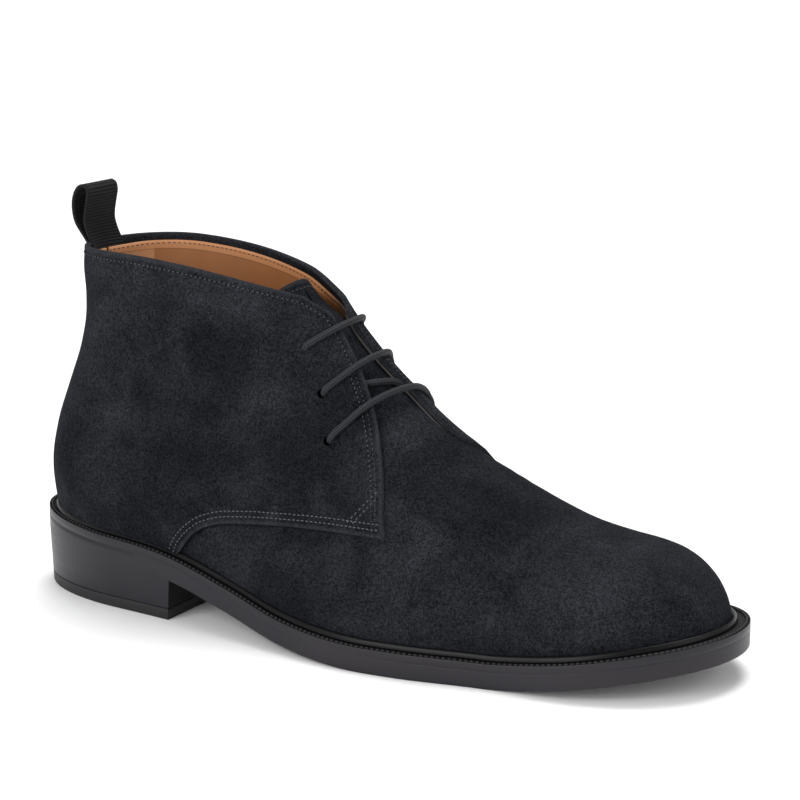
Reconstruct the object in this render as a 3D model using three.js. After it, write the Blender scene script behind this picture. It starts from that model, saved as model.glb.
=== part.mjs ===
// Ankle-high lace-up suede boot on a welted leather-look sole, right foot.
// Millimetres. X runs from heel to toe, +Y is the inner (big toe) side, Z is up from the floor.
import * as THREE from 'three';
import { mergeVertices } from 'three/addons/utils/BufferGeometryUtils.js';

// ---------------------------------------------------------------- driving dimensions
const soleLength = 305;
const outsoleThickness = 6.1;
const weltThickness = 3.3;
const liftThickness = 4.6;
const heelBreastX = 82.5;
const heelTaper = 0.9;
const breastLean = 2.0;
const gap = 0.3;
const wall = 2.0;
const quarterThickness = 1.0;
const lapGap = 0.7;
const toeRadius = 60;
const heelRadius = 52;
const insoleLift = 3.4;
const insoleClear = 1.6;
const featherBack = 5.6;
const tongueThickness = 2.4;
const laceRadius = 1.35;
const loopWidth = 20;
const loopThickness = 1.5;

const colours = {
  suede: { color: 0x24262b, roughness: 0.95 },
  suedeDark: { color: 0x1c1d21, roughness: 0.95 },
  sole: { color: 0x34353a, roughness: 0.45 },
  soleEdge: { color: 0x3d3a3a, roughness: 0.5 },
  lift: { color: 0x222328, roughness: 0.6 },
  tan: { color: 0x9c6238, roughness: 0.6 },
  lace: { color: 0x2b2d31, roughness: 0.7 },
  webbing: { color: 0x17181a, roughness: 0.9 },
};

// ---------------------------------------------------------------- section tables
// outsole by station: underside height, half width and centre line of the outline
const soleRows = [
  { x: 0, under: 23.0, half: 34.6, centre: 0.0 },
  { x: 40, under: 20.2, half: 34.5, centre: -0.8 },
  { x: 82, under: 16.6, half: 35.5, centre: -3.8 },
  { x: 112, under: 9.6, half: 37.2, centre: -6.6 },
  { x: 140, under: 3.0, half: 40.8, centre: -9.0 },
  { x: 170, under: 0.3, half: 46.0, centre: -8.0 },
  { x: 192, under: 0.0, half: 48.2, centre: -4.4 },
  { x: 226, under: 0.0, half: 47.8, centre: 1.2 },
  { x: 254, under: 3.6, half: 46.8, centre: 1.8 },
  { x: 285, under: 9.0, half: 46.2, centre: 3.0 },
  { x: 305, under: 12.0, half: 46.0, centre: 4.0 },
];

// instep and toe ridge, from the collar's front down to the toe: height, sideways place
// and the power of the arch across the foot
const ridgeRows = [
  { x: 118, z: 168, y: -0.5, arch: 2 },
  { x: 124, z: 151.5, y: -1, arch: 2 },
  { x: 131, z: 136, y: -1.5, arch: 2 },
  { x: 138, z: 124.4, y: -2, arch: 2 },
  { x: 147, z: 113.8, y: -2.8, arch: 2 },
  { x: 157, z: 104.4, y: -3.5, arch: 2 },
  { x: 169.5, z: 94.3, y: -4, arch: 1.95 },
  { x: 182, z: 84.2, y: -4, arch: 1.92 },
  { x: 195, z: 75.2, y: -3.2, arch: 1.9 },
  { x: 209, z: 67, y: -1.6, arch: 1.92 },
  { x: 224.5, z: 58.7, y: 0.8, arch: 1.98 },
  { x: 238, z: 52.8, y: 3, arch: 2.05 },
  { x: 252, z: 49.2, y: 4.8, arch: 2.15 },
  { x: 264, z: 47.2, y: 5.8, arch: 2.25 },
  { x: 274, z: 44.9, y: 6.2, arch: 2.3 },
  { x: 283, z: 40.9, y: 6, arch: 2.35 },
  { x: 289.5, z: 36.2, y: 5.4, arch: 2.35 },
  { x: 294.5, z: 30.2, y: 4.6, arch: 2.3 },
  { x: 297.5, z: 23.8, y: 4.1, arch: 2.2 },
  { x: 299, z: 18, y: 4, arch: 2.2 },
];

// shaft by height: back seam and half width across the ankle
const shaftRows = [
  { z: 20, back: 7.3, half: 31.6 },
  { z: 34, back: 6.4, half: 31.6 },
  { z: 46, back: 6.0, half: 31.5 },
  { z: 58, back: 7.2, half: 31.0 },
  { z: 71, back: 10.2, half: 29.9 },
  { z: 85, back: 15.2, half: 28.5 },
  { z: 101, back: 21.2, half: 27.2 },
  { z: 113, back: 24.0, half: 26.7 },
  { z: 123, back: 24.5, half: 26.9 },
  { z: 134, back: 23.9, half: 27.8 },
  { z: 142, back: 24.6, half: 28.5 },
  { z: 156, back: 26.4, half: 29.5 },
];

// ribs fan from the feather line (and then the back seam) to the ridge: outer and inner are
// places along the sole on either side, back a height on the back seam, bow the rib's rise
// at its middle; facing and facingInner are the lacing edge in degrees up each side's rib
const ribRows = [
  { at: 0.000, outer: 298.4, inner: 298.4, top: 298.4, bow: 0, facing: 100, facingInner: 100 },
  { at: 0.050, outer: 292.8, inner: 292.8, top: 293.8, bow: 0, facing: 100, facingInner: 100 },
  { at: 0.110, outer: 279, inner: 279, top: 280, bow: 0, facing: 100, facingInner: 100 },
  { at: 0.190, outer: 257, inner: 258, top: 258, bow: 0, facing: 100, facingInner: 100 },
  { at: 0.290, outer: 228, inner: 233, top: 232, bow: 0, facing: 100, facingInner: 100 },
  { at: 0.390, outer: 198, inner: 214, top: 213, bow: 0, facing: 100, facingInner: 100 },
  { at: 0.500, outer: 160, inner: 192, top: 196, bow: 0, facing: 100, facingInner: 104 },
  { at: 0.512, outer: 155, inner: 186.5, top: 193.2, bow: 0, facing: 105, facingInner: 150 },
  { at: 0.540, outer: 144.5, inner: 172, top: 187, bow: 0, facing: 118, facingInner: 171 },
  { at: 0.580, outer: 129, inner: 150, top: 178, bow: 0, facing: 133.5, facingInner: 174 },
  { at: 0.660, outer: 91, inner: 98, top: 161.5, bow: 0, facing: 155, facingInner: 177.5 },
  { at: 0.730, outer: 48, inner: 50, top: 150, bow: 0.8, facing: 165, facingInner: 177.5 },
  { at: 0.790, outer: 18, inner: 18, top: 144, bow: 1.8, facing: 168, facingInner: 177 },
  { at: 0.83, outer: 6.4, inner: 6.4, top: 141.6, bow: 2.6, facing: 168.5, facingInner: 176,
    back: 32.3 },
  { at: 0.92, outer: 6.4, inner: 6.4, top: 138.6, bow: 4.6, facing: 165.5, facingInner: 171,
    back: 92 },
  { at: 1.00, outer: 6.4, inner: 6.4, top: 136.2, bow: 6.2, facing: 150.5, facingInner: 156,
    back: 141.5 },
  { at: 1.10, outer: 6.4, inner: 6.4, top: 131, bow: 6.2, facing: 132, facingInner: 140,
    back: 155 },
];
const throatRib = 0.5;
const heelRib = 0.83;

// lower edge of the quarters, where they lie over the vamp
const seamRows = [
  { x: 83, z: 24 },
  { x: 86.5, z: 30 },
  { x: 91, z: 35 },
  { x: 97, z: 39.6 },
  { x: 105, z: 42.8 },
  { x: 116, z: 44.6 },
  { x: 135, z: 46.4 },
  { x: 160, z: 47.6 },
  { x: 184, z: 48.6 },
];

// ---------------------------------------------------------------- table and shape helpers
const clamp = (value, low, high) => Math.min(high, Math.max(low, value));

// smooth curve through the rows of a table: column `value` against column `key`
function smooth(rows, key, value, at) {
  const last = rows.length - 1;
  const place = clamp(at, rows[0][key], rows[last][key]);
  let i = 0;
  while (i < last - 1 && place >= rows[i + 1][key]) i++;
  const width = (n) => rows[n + 1][key] - rows[n][key];
  const slope = (n) => (rows[n + 1][value] - rows[n][value]) / width(n);
  const tangent = (n) => {
    if (n === 0) return slope(0);
    if (n === last) return slope(last - 1);
    return (slope(n - 1) * width(n) + slope(n) * width(n - 1)) / (width(n - 1) + width(n));
  };
  const h = width(i);
  const t = (place - rows[i][key]) / h;
  const t2 = t * t;
  const t3 = t2 * t;
  return (2 * t3 - 3 * t2 + 1) * rows[i][value] + (t3 - 2 * t2 + t) * h * tangent(i)
    + (3 * t2 - 2 * t3) * rows[i + 1][value] + (t3 - t2) * h * tangent(i + 1);
}

const ease = (from, to, at) => {
  const t = clamp((at - from) / (to - from), 0, 1);
  return t * t * (3 - 2 * t);
};

// quarter circle rise from 0 to 1 over a radius
const round = (distance, radius) => {
  const t = clamp(distance / radius, 0, 1);
  return Math.sqrt(Math.max(0, 1 - (1 - t) ** 2));
};

// superellipse fall from 1 at `from` to 0 at 1
const crown = (fraction, from, power) => {
  const t = clamp((fraction - from) / (1 - from), 0, 1);
  return Math.max(0, 1 - t ** power) ** (1 / power);
};

// ---------------------------------------------------------------- sole outline
const underside = (x) => Math.max(0, smooth(soleRows, 'x', 'under', x));
const weltTop = (x) => underside(x) + outsoleThickness + gap + weltThickness;
const featherHeight = (x) => weltTop(x) + gap;

// outline of the sole at x, moved inwards by `inset`; side is +1 inner, -1 outer
function soleY(x, side, inset = 0) {
  const half = smooth(soleRows, 'x', 'half', x) - inset;
  const centre = smooth(soleRows, 'x', 'centre', x);
  const ends = round(x - inset, heelRadius) * round(soleLength - inset - x, toeRadius);
  return centre * round(x - inset, heelRadius) + side * half * ends;
}

// loop once round the sole: turn 0 is the heel's back, half a turn the toe
function loopPoint(turn, inset, endInset, height) {
  const share = (1 - Math.cos(turn * 2 * Math.PI)) / 2;
  const low = inset + endInset.heel;
  const high = soleLength - inset - endInset.toe;
  const x = low + (high - low) * share;
  const side = turn < 0.5 ? -1 : 1;
  const half = smooth(soleRows, 'x', 'half', x) - inset;
  const centre = smooth(soleRows, 'x', 'centre', x) * round(x - low, heelRadius);
  const y = centre + side * half * round(x - low, heelRadius) * round(high - x, toeRadius);
  return new THREE.Vector3(x, y, height(x));
}

// ---------------------------------------------------------------- form of the upper
const ridgeHeight = (x) => smooth(ridgeRows, 'x', 'z', x);
const ridgeSide = (x) => smooth(ridgeRows, 'x', 'y', x);
const backX = (z) => smooth(shaftRows, 'z', 'back', z);
const frontRows = ridgeRows.map(({ x, z }) => ({ x, down: -z }));
const frontX = (z) => smooth(frontRows, 'down', 'x', -z);
const toeX = 298.4;
const innerRise = -0.6;
const innerRiseFrom = 0.7;

// how the foot's section changes along the boot; pairs are where a change starts and ends
const form = {
  bulge: 2.4,
  bulgeHeight: 34,
  toe: [262, toeX],
  toeInset: 3,
  shaftRise: [4, 62],
  shaftEnd: [150, 215],
  heelCurve: 42,
  heelCurveLoss: 11,
  heelCurveRise: 30,
  frontDepth: 60,
  overStart: 0.24,
  archTurn: [128, 195],
  ridgeTurn: [60, 200],
};

const weltRows = [
  { x: 0, show: 4.6 },
  { x: 60, show: 5.2 },
  { x: 120, show: 4.8 },
  { x: 200, show: 5.2 },
  { x: 305, show: 5.4 },
];

// sideways place of the upper's outside at (x, z); side is +1 inner, -1 outer
function formY(x, z, side) {
  const base = featherHeight(x);
  const rise = Math.max(0, z - base);
  const notToe = 1 - ease(...form.toe, x);
  const show = smooth(weltRows, 'x', 'show', x);
  const centre = smooth(soleRows, 'x', 'centre', x);
  const end = round(toeX - x, toeRadius - form.toeInset);
  const plan = (smooth(soleRows, 'x', 'half', x) - show) * end;
  const fullness = Math.sin(Math.PI * clamp(rise / form.bulgeHeight, 0, 1));
  const foot = plan + side * centre + form.bulge * fullness * notToe;
  const shaft = ease(...form.shaftRise, rise) * (1 - ease(...form.shaftEnd, x));
  const width = foot * (1 - shaft) + smooth(shaftRows, 'z', 'half', z) * shaft;
  const heelCurve = form.heelCurve - form.heelCurveLoss * ease(0, form.heelCurveRise, rise);
  const heel = round(x - backX(z), heelCurve);
  const across = crown((x - frontX(z)) / form.frontDepth + 1, 0, 2);
  const height = Math.max(0.01, ridgeHeight(x) - base);
  const power = smooth(ridgeRows, 'x', 'arch', x);
  const over = crown(rise / height, form.overStart * notToe, power);
  const turn = ease(...form.archTurn, x);
  const arch = across * (1 - turn) + over * turn;
  const ridge = ridgeSide(x) * ease(...form.ridgeTurn, x);
  return ridge + side * (width - side * ridge) * arch * heel;
}

const backRibs = ribRows.filter((row) => row.back !== undefined);

// point of the form on rib `at`, `angle` from 0 at the base to PI on the ridge
function formPoint(at, angle, side) {
  const share = (1 - Math.cos(angle)) / 2;
  const topX = smooth(ribRows, 'at', 'top', at);
  const topZ = ridgeHeight(topX);
  let baseX = smooth(ribRows, 'at', side < 0 ? 'outer' : 'inner', at);
  let baseZ = featherHeight(baseX);
  if (at >= heelRib) {
    baseZ = smooth(backRibs, 'at', 'back', at);
    baseX = backX(baseZ);
  }
  const lift = side > 0 ? innerRise * ease(innerRiseFrom, 1, at) : 0;
  const bow = smooth(ribRows, 'at', 'bow', at) + lift;
  const x = baseX + (topX - baseX) * share;
  const z = baseZ + (topZ - baseZ) * share + bow * 4 * share * (1 - share);
  return new THREE.Vector3(x, formY(x, z, side), z);
}

// outward normal of the form
function formNormal(at, angle, side) {
  const da = 0.004;
  const dg = 0.02;
  const lowAt = Math.max(0.004, at - da);
  const lowAngle = Math.max(0.002, angle - dg);
  const along = formPoint(at + da, angle, side).sub(formPoint(lowAt, angle, side));
  const highAngle = Math.min(Math.PI, angle + dg);
  const across = formPoint(at, highAngle, side).sub(formPoint(at, lowAngle, side));
  return along.cross(across).normalize().multiplyScalar(side);
}

// point moved off the form by `offset` along its normal, outwards positive
function offForm(at, angle, side, offset) {
  const point = formPoint(at, angle, side);
  return point.addScaledVector(formNormal(at, angle, side), offset);
}

// angle on a rib where `test` first turns negative, counted down from the ridge
function angleWhere(at, side, test) {
  const steps = 90;
  let high = Math.PI;
  for (let i = 1; i <= steps; i++) {
    const low = Math.PI * (1 - i / steps);
    if (test(formPoint(at, low, side)) >= 0) {
      let a = low;
      let b = high;
      for (let n = 0; n < 24; n++) {
        const middle = (a + b) / 2;
        if (test(formPoint(at, middle, side)) >= 0) a = middle;
        else b = middle;
      }
      return a;
    }
    high = low;
  }
  return 0;
}

// edge of the facing on a rib
function facingAngle(at, side) {
  const degrees = smooth(ribRows, 'at', side < 0 ? 'facing' : 'facingInner', at);
  return THREE.MathUtils.degToRad(degrees);
}

// ---------------------------------------------------------------- mesh helpers
// closed mesh from triangles of points; empty triangles are left out
function solid(triangles) {
  const position = [];
  for (const corners of triangles) {
    for (const p of corners) position.push(p.x, p.y, p.z);
  }
  const geometry = new THREE.BufferGeometry();
  geometry.setAttribute('position', new THREE.Float32BufferAttribute(position, 3));
  const merged = mergeVertices(geometry, 0.002);
  const index = merged.getIndex().array;
  const kept = [];
  for (let i = 0; i < index.length; i += 3) {
    const [a, b, c] = [index[i], index[i + 1], index[i + 2]];
    if (a !== b && b !== c && a !== c) kept.push(a, b, c);
  }
  merged.setIndex(kept);
  if (signedVolume(merged) < 0) {
    for (let i = 0; i < kept.length; i += 3) {
      [kept[i], kept[i + 1]] = [kept[i + 1], kept[i]];
    }
    merged.setIndex(kept);
  }
  return merged;
}

function signedVolume(geometry) {
  const points = geometry.getAttribute('position');
  const index = geometry.getIndex().array;
  const corner = (i) => new THREE.Vector3().fromBufferAttribute(points, index[i]);
  let total = 0;
  for (let i = 0; i < index.length; i += 3) {
    total += corner(i).dot(corner(i + 1).cross(corner(i + 2)));
  }
  return total / 6;
}

// the same closed form with its corners shared and its empty triangles dropped
function weld(geometry) {
  const points = geometry.getAttribute('position');
  const corner = (i) => new THREE.Vector3().fromBufferAttribute(points, i);
  const triangles = [];
  for (let i = 0; i < points.count; i += 3) triangles.push([corner(i), corner(i + 1), corner(i + 2)]);
  return solid(triangles);
}

const keyOf = (p) => [p.x, p.y, p.z].map((v) => Math.round(v * 400)).join(',');

// wall between two sheets: quads give [outside, inside] pairs at their four corners
function wallBetween(quads) {
  const triangles = [];
  const edges = new Map();
  for (const quad of quads) {
    const out = quad.map((pair) => pair[0]);
    const into = quad.map((pair) => pair[1]);
    triangles.push([out[0], out[1], out[2]], [out[0], out[2], out[3]]);
    triangles.push([into[0], into[2], into[1]], [into[0], into[3], into[2]]);
    for (let i = 0; i < 4; i++) {
      const a = quad[i];
      const b = quad[(i + 1) % 4];
      const [ka, kb] = [keyOf(a[0]), keyOf(b[0])];
      if (ka === kb) continue;
      const back = kb + '|' + ka;
      if (edges.has(back)) edges.delete(back);
      else edges.set(ka + '|' + kb, [a, b]);
    }
  }
  for (const [a, b] of edges.values()) {
    triangles.push([a[0], a[1], b[1]], [a[0], b[1], b[0]]);
  }
  return solid(triangles);
}

// quads of a grid of [outside, inside] pairs
function gridQuads(rows, keep = () => true) {
  const quads = [];
  for (let i = 0; i + 1 < rows.length; i++) {
    for (let j = 0; j + 1 < rows[i].length; j++) {
      if (keep(i, j)) {
        quads.push([rows[i][j], rows[i][j + 1], rows[i + 1][j + 1], rows[i + 1][j]]);
      }
    }
  }
  return quads;
}

// flat shape made of quads, carried through `steps` places by `place(point, share)`
function sweep(quads, steps, place) {
  const triangles = [];
  const edges = new Map();
  for (const quad of quads) {
    const [low, high] = [0, 1].map((share) => quad.map((point) => place(point, share)));
    triangles.push([low[0], low[2], low[1]], [low[0], low[3], low[2]]);
    triangles.push([high[0], high[1], high[2]], [high[0], high[2], high[3]]);
    for (let i = 0; i < 4; i++) {
      const [a, b] = [quad[i], quad[(i + 1) % 4]];
      const back = b + '|' + a;
      if (edges.has(back)) edges.delete(back);
      else edges.set(a + '|' + b, [a, b]);
    }
  }
  for (const [a, b] of edges.values()) {
    for (let i = 0; i < steps; i++) {
      const [a0, b0] = [place(a, i / steps), place(b, i / steps)];
      const [a1, b1] = [place(a, (i + 1) / steps), place(b, (i + 1) / steps)];
      triangles.push([a0, b0, b1], [a0, b1, a1]);
    }
  }
  return solid(triangles);
}

const range = (count) => Array.from({ length: count + 1 }, (_, i) => i);

// sole layer: a grid of stations and places across, between two sheets of points
function layer(stations, across, point) {
  const rows = range(stations).map((i) => range(across).map((j) => {
    const along = (1 - Math.cos((Math.PI * i) / stations)) / 2;
    const side = -Math.cos((Math.PI * j) / across);
    return [point(along, side, 1), point(along, side, 0)];
  }));
  return wallBetween(gridQuads(rows));
}

// ---------------------------------------------------------------- sole pieces
function outsole() {
  return layer(32, 6, (along, across, level) => {
    const x = soleLength * along;
    const z = underside(x) + level * outsoleThickness;
    const centre = (soleY(x, 1) + soleY(x, -1)) / 2;
    const half = (soleY(x, 1) - soleY(x, -1)) / 2;
    return new THREE.Vector3(x, centre + half * across, z);
  });
}

// part of the heel between two heights; the top follows the sole where `topZ` is not given
function heelPiece(bottomZ, topZ) {
  const full = underside(0);
  return layer(16, 6, (along, across, level) => {
    const slope = (x) => (topZ === null ? underside(x) - gap : topZ);
    const inset = (z) => heelTaper * (1 - z / full);
    const length = (z) => heelBreastX - breastLean * (1 - z / full);
    const guess = level ? slope(heelBreastX * along) : bottomZ;
    const low = inset(guess);
    const x = low + (length(guess) - low) * (1 - Math.cos(Math.acos(1 - 2 * along) / 2));
    const z = level ? slope(x) : bottomZ;
    const y = (side) => soleY(x, side, inset(z));
    return new THREE.Vector3(x, (y(1) + y(-1)) / 2 + (across * (y(1) - y(-1))) / 2, z);
  });
}

// ring between the sole's edge and the upper's inside
function welt() {
  const steps = 72;
  const low = (x) => underside(x) + outsoleThickness + gap;
  const section = (turn) => {
    const outer = { heel: 0, toe: 0 };
    const share = (1 - Math.cos(turn * 2 * Math.PI)) / 2;
    const show = smooth(weltRows, 'x', 'show', soleLength * share);
    const inset = show + wall;
    const ends = { heel: featherBack + wall - inset, toe: soleLength - toeX + wall - inset };
    return [
      loopPoint(turn, 0, outer, low),
      loopPoint(turn, 0.2, outer, weltTop),
      loopPoint(turn, inset, ends, weltTop),
      loopPoint(turn, inset, ends, low),
    ];
  };
  const rows = range(steps).map((i) => section((i % steps) / steps));
  const triangles = [];
  for (let i = 0; i < steps; i++) {
    for (let j = 0; j < 4; j++) {
      const [a, b] = [rows[i][j], rows[i][(j + 1) % 4]];
      const [c, d] = [rows[i + 1][(j + 1) % 4], rows[i + 1][j]];
      triangles.push([a, b, c], [a, c, d]);
    }
  }
  return solid(triangles);
}

function insole() {
  const start = featherBack + wall + insoleClear + 1;
  const end = toeX - wall - insoleClear;
  return layer(28, 6, (along, across, level) => {
    const x = start + (end - start) * along;
    const show = smooth(weltRows, 'x', 'show', x);
    const half = (smooth(soleRows, 'x', 'half', x) - show - wall - insoleClear)
      * round(x - start, heelRadius) * round(end - x, toeRadius);
    const centre = smooth(soleRows, 'x', 'centre', x) * round(x - start, heelRadius);
    const z = level ? featherHeight(x) + insoleLift : underside(x) + outsoleThickness + gap;
    return new THREE.Vector3(x, centre + half * across, z);
  });
}

// ---------------------------------------------------------------- upper, quarters and tongue
// ribs shared by the upper and the quarters, with one on the throat and one on the heel seat
const ribs = 39;
const throatRow = 16;
const heelRow = 34;
const sideCells = 11;
const between = (low, high, share) => low + (high - low) * share;
const ribAt = (i) => {
  if (i <= throatRow) return throatRib * (i / throatRow);
  if (i > heelRow) return between(heelRib, 1, (i - heelRow) / (ribs - heelRow));
  return between(throatRib, heelRib, (i - throatRow) / (heelRow - throatRow));
};

// positive below the quarters' lower edge, which starts at the heel's breast
const belowSeam = (p) => (p.x < seamRows[0].x ? -1 : smooth(seamRows, 'x', 'z', p.x) - p.z);
const seamAngle = (at, side) => angleWhere(at, side, belowSeam);

// the vamp's leather is skived where a quarter lies over it
function upper() {
  const throatCells = 8;
  const skiveDepth = 1.0;
  const skiveAngle = 0.45;
  const cells = 2 * sideCells + throatCells;
  const toeTip = new THREE.Vector3(toeX, ridgeSide(toeX), featherHeight(toeX));
  const toeInside = toeTip.clone().setX(toeX - wall).setZ(featherHeight(toeX - wall));
  const pair = (at, angle, side, seam) => {
    if (at === 0) return [toeTip, toeInside];
    const onSeam = angle === 0 && at >= heelRib;
    const covered = at > throatRib && !onSeam;
    const skive = covered ? skiveDepth * ease(seam - skiveAngle, seam, angle) : 0;
    const inside = offForm(at, angle, onSeam ? -1 : side, -wall);
    if (angle === 0 && at <= heelRib) inside.z = featherHeight(inside.x);
    if (onSeam) inside.y = 0;
    return [offForm(at, angle, side, -skive), inside];
  };
  const rows = range(ribs).map((i) => {
    const at = ribAt(i);
    const open = Math.max(at, throatRib);
    const edges = { '-1': facingAngle(open, -1), 1: facingAngle(open, 1) };
    const seams = { '-1': seamAngle(open, -1), 1: seamAngle(open, 1) };
    return range(cells).map((j) => {
      const side = j <= cells / 2 ? -1 : 1;
      const n = side < 0 ? j : cells - j;
      const edge = edges[side];
      const angle = n <= sideCells ? (edge * n) / sideCells
        : edge + ((Math.PI - edge) * (n - sideCells)) / (throatCells / 2);
      return pair(at, angle, side, seams[side]);
    });
  });
  const inThroat = (j) => j >= sideCells && j < cells - sideCells;
  return wallBetween(gridQuads(rows, (i, j) => i < throatRow || !inThroat(j)));
}

// leather quarter that lies over the vamp and carries the eyelets
function quarter(side) {
  const backGap = 0.25;
  const baseAngle = 0.03;
  const leastHeight = 0.04;
  const rows = range(ribs - throatRow).map((i) => {
    const at = ribAt(throatRow + i);
    const high = facingAngle(at, side);
    const start = Math.min(Math.max(seamAngle(at, side), baseAngle), high - leastHeight);
    return range(sideCells).map((j) => {
      const angle = Math.max(start, (high * j) / sideCells);
      const pair = [lapGap + quarterThickness, lapGap].map((o) => offForm(at, angle, side, o));
      for (const p of pair) {
        p.y = side * Math.max(side * p.y, backGap);
        p.z = Math.max(p.z, featherHeight(p.x) + gap);
      }
      return pair;
    });
  });
  return wallBetween(gridQuads(rows));
}

// tongue lies under the facings and the vamp's end, and leans back at its top
function tongue() {
  const stations = 20;
  const cells = 10;
  const first = 0.455;
  const last = 1.07;
  const lowestAngle = 1.2;
  const top = wall + 4 * gap;
  const sunk = { depth: 2.4, end: 0.59 };
  const taper = { half: 36, fall: 16, tip: 10, tipFrom: 0.86, tipTo: 1.1 };
  const back = { lean: 5, from: 0.8, to: 1.05 };
  const rows = range(stations).map((i) => {
    const t = i / stations;
    const at = between(first, last, t);
    const tip = taper.tip * ease(taper.tipFrom, taper.tipTo, t);
    const half = taper.half - taper.fall * t - tip;
    const lean = back.lean * ease(back.from, back.to, at);
    const deeper = sunk.depth * (1 - ease(first, sunk.end, at));
    return range(cells).map((j) => {
      const place = (2 * j) / cells - 1;
      const side = place < 0 ? -1 : 1;
      const want = Math.abs(place) * half;
      const found = place === 0 ? Math.PI
        : angleWhere(at, side, (p) => Math.abs(p.y - ridgeSide(p.x)) - want);
      const angle = Math.max(found, between(Math.PI, lowestAngle, Math.abs(place)));
      return [top, top + tongueThickness].map((depth) => {
        const p = offForm(at, angle, side, -depth - deeper);
        p.x -= lean;
        return p;
      });
    });
  });
  return wallBetween(gridQuads(rows));
}

// ---------------------------------------------------------------- laces and pull loop
// bars of the lace over the gap: ribs and degrees of the eyelets and of the ridge crossing
const laceRows = [
  { name: 'lace_top', outerAt: 0.796, outer: 146, ridgeAt: 0.818, innerAt: 0.79, inner: 150 },
  { name: 'lace_middle', outerAt: 0.694, outer: 136, ridgeAt: 0.704, innerAt: 0.69, inner: 148 },
  { name: 'lace_bottom', outerAt: 0.641, outer: 120, ridgeAt: 0.627, innerAt: 0.6, inner: 142 },
];

function laceBar(row) {
  const clear = lapGap + quarterThickness + laceRadius + 1.5 * gap;
  const half = 7;
  const ridgeAngle = 3.1;
  const points = range(2 * half).map((i) => {
    const side = i <= half ? -1 : 1;
    const share = side < 0 ? i / half : 2 - i / half;
    const from = side < 0 ? row.outer : row.inner;
    const fromAt = side < 0 ? row.outerAt : row.innerAt;
    const angle = THREE.MathUtils.degToRad(from + (180 - from) * share);
    const at = fromAt + (row.ridgeAt - fromAt) * share;
    return offForm(at, Math.min(angle, ridgeAngle), side, clear);
  });
  const path = new THREE.CatmullRomCurve3(points, false, 'centripetal');
  const shape = new THREE.Shape();
  shape.absarc(0, 0, laceRadius, 0, 2 * Math.PI);
  const options = { steps: 14, curveSegments: 4, extrudePath: path };
  return weld(new THREE.ExtrudeGeometry(shape, options));
}

// side view of the folded webbing: [x, z] of its outside and of the eye, going round
const loopRows = [
  { out: [28.4, 143.6], eye: [25.2, 146.9] },
  { out: [27.2, 147.2], eye: [25.3, 148.6] },
  { out: [26.3, 151], eye: [24.8, 151.6] },
  { out: [26, 156], eye: [24.6, 156] },
  { out: [25.9, 160], eye: [24.5, 160] },
  { out: [25.1, 163.6], eye: [23.9, 162.6] },
  { out: [23.8, 164.9], eye: [23.1, 163.5] },
  { out: [22.1, 165.2], eye: [22.2, 163.8] },
  { out: [20.3, 164.4], eye: [21.1, 163.2] },
  { out: [19, 162.5], eye: [20.3, 161.8] },
  { out: [18.2, 159.5], eye: [19.6, 159.2] },
  { out: [18, 157], eye: [19.4, 156.8] },
  { out: [18.3, 153.5], eye: [19.7, 153.9] },
  { out: [19.5, 150], eye: [20.8, 150.7] },
  { out: [21.3, 146.4], eye: [22.4, 147.6] },
  { out: [23.2, 143.3], eye: [24.1, 146.3] },
];
const tailBottom = 130;

function pullLoop() {
  const steps = 6;
  const heelCurve = 20;
  const collar = 138;
  const straight = [142, 149];
  const tailBack = backX(collar) + wall + 3 * gap;
  const tailTop = [tailBack, 142.8];
  const bottom = [[tailBack, tailBottom], [tailBack + loopThickness, tailBottom]];
  const ring = [...loopRows, { out: tailTop, eye: [24.7, 146.3] }];
  const quads = ring.map((row, i) => {
    const next = ring[(i + 1) % ring.length];
    return [row.out, next.out, next.eye, row.eye];
  });
  quads.push([ring[0].out, tailTop, bottom[0], bottom[1]]);
  // the webbing hugs the curved heel inside the collar and is straight above it
  return sweep(quads, steps, ([x, z], share) => {
    const y = loopWidth * (share - 0.5);
    const hug = 1 - ease(...straight, z);
    return new THREE.Vector3(x + (hug * y * y) / (2 * heelCurve), y, z);
  });
}

// ---------------------------------------------------------------- assembly
const shoe = new THREE.Group();

function add(name, geometry, colour) {
  geometry.computeVertexNormals();
  const material = new THREE.MeshStandardMaterial({ metalness: 0, ...colour });
  const mesh = new THREE.Mesh(geometry, material);
  mesh.name = name;
  shoe.add(mesh);
}

add('outsole', outsole(), colours.sole);
add('heel', heelPiece(liftThickness + gap, null), colours.sole);
add('top_lift', heelPiece(0, liftThickness), colours.lift);
add('welt', welt(), colours.soleEdge);
add('insole', insole(), colours.tan);
add('upper', upper(), colours.suede);
add('quarter_outer', quarter(-1), colours.suede);
add('quarter_inner', quarter(1), colours.suede);
add('tongue', tongue(), colours.suedeDark);
add('pull_loop', pullLoop(), colours.webbing);
for (const row of laceRows) add(row.name, laceBar(row), colours.lace);

// origin under the middle of the whole boot, on the floor
const box = new THREE.Box3().setFromObject(shoe);
const middle = box.getCenter(new THREE.Vector3());
for (const mesh of shoe.children) mesh.position.set(-middle.x, -middle.y, -box.min.z);

export default shoe;
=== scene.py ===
# Suede chukka boot, right foot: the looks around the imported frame.
# Forms are worked out in millimetres from the back of the heel (x 0) and moved into the frame in metres.
import math
import bpy
import numpy as np
from mathutils import Matrix, Vector, noise
from mathutils.kdtree import KDTree


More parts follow.
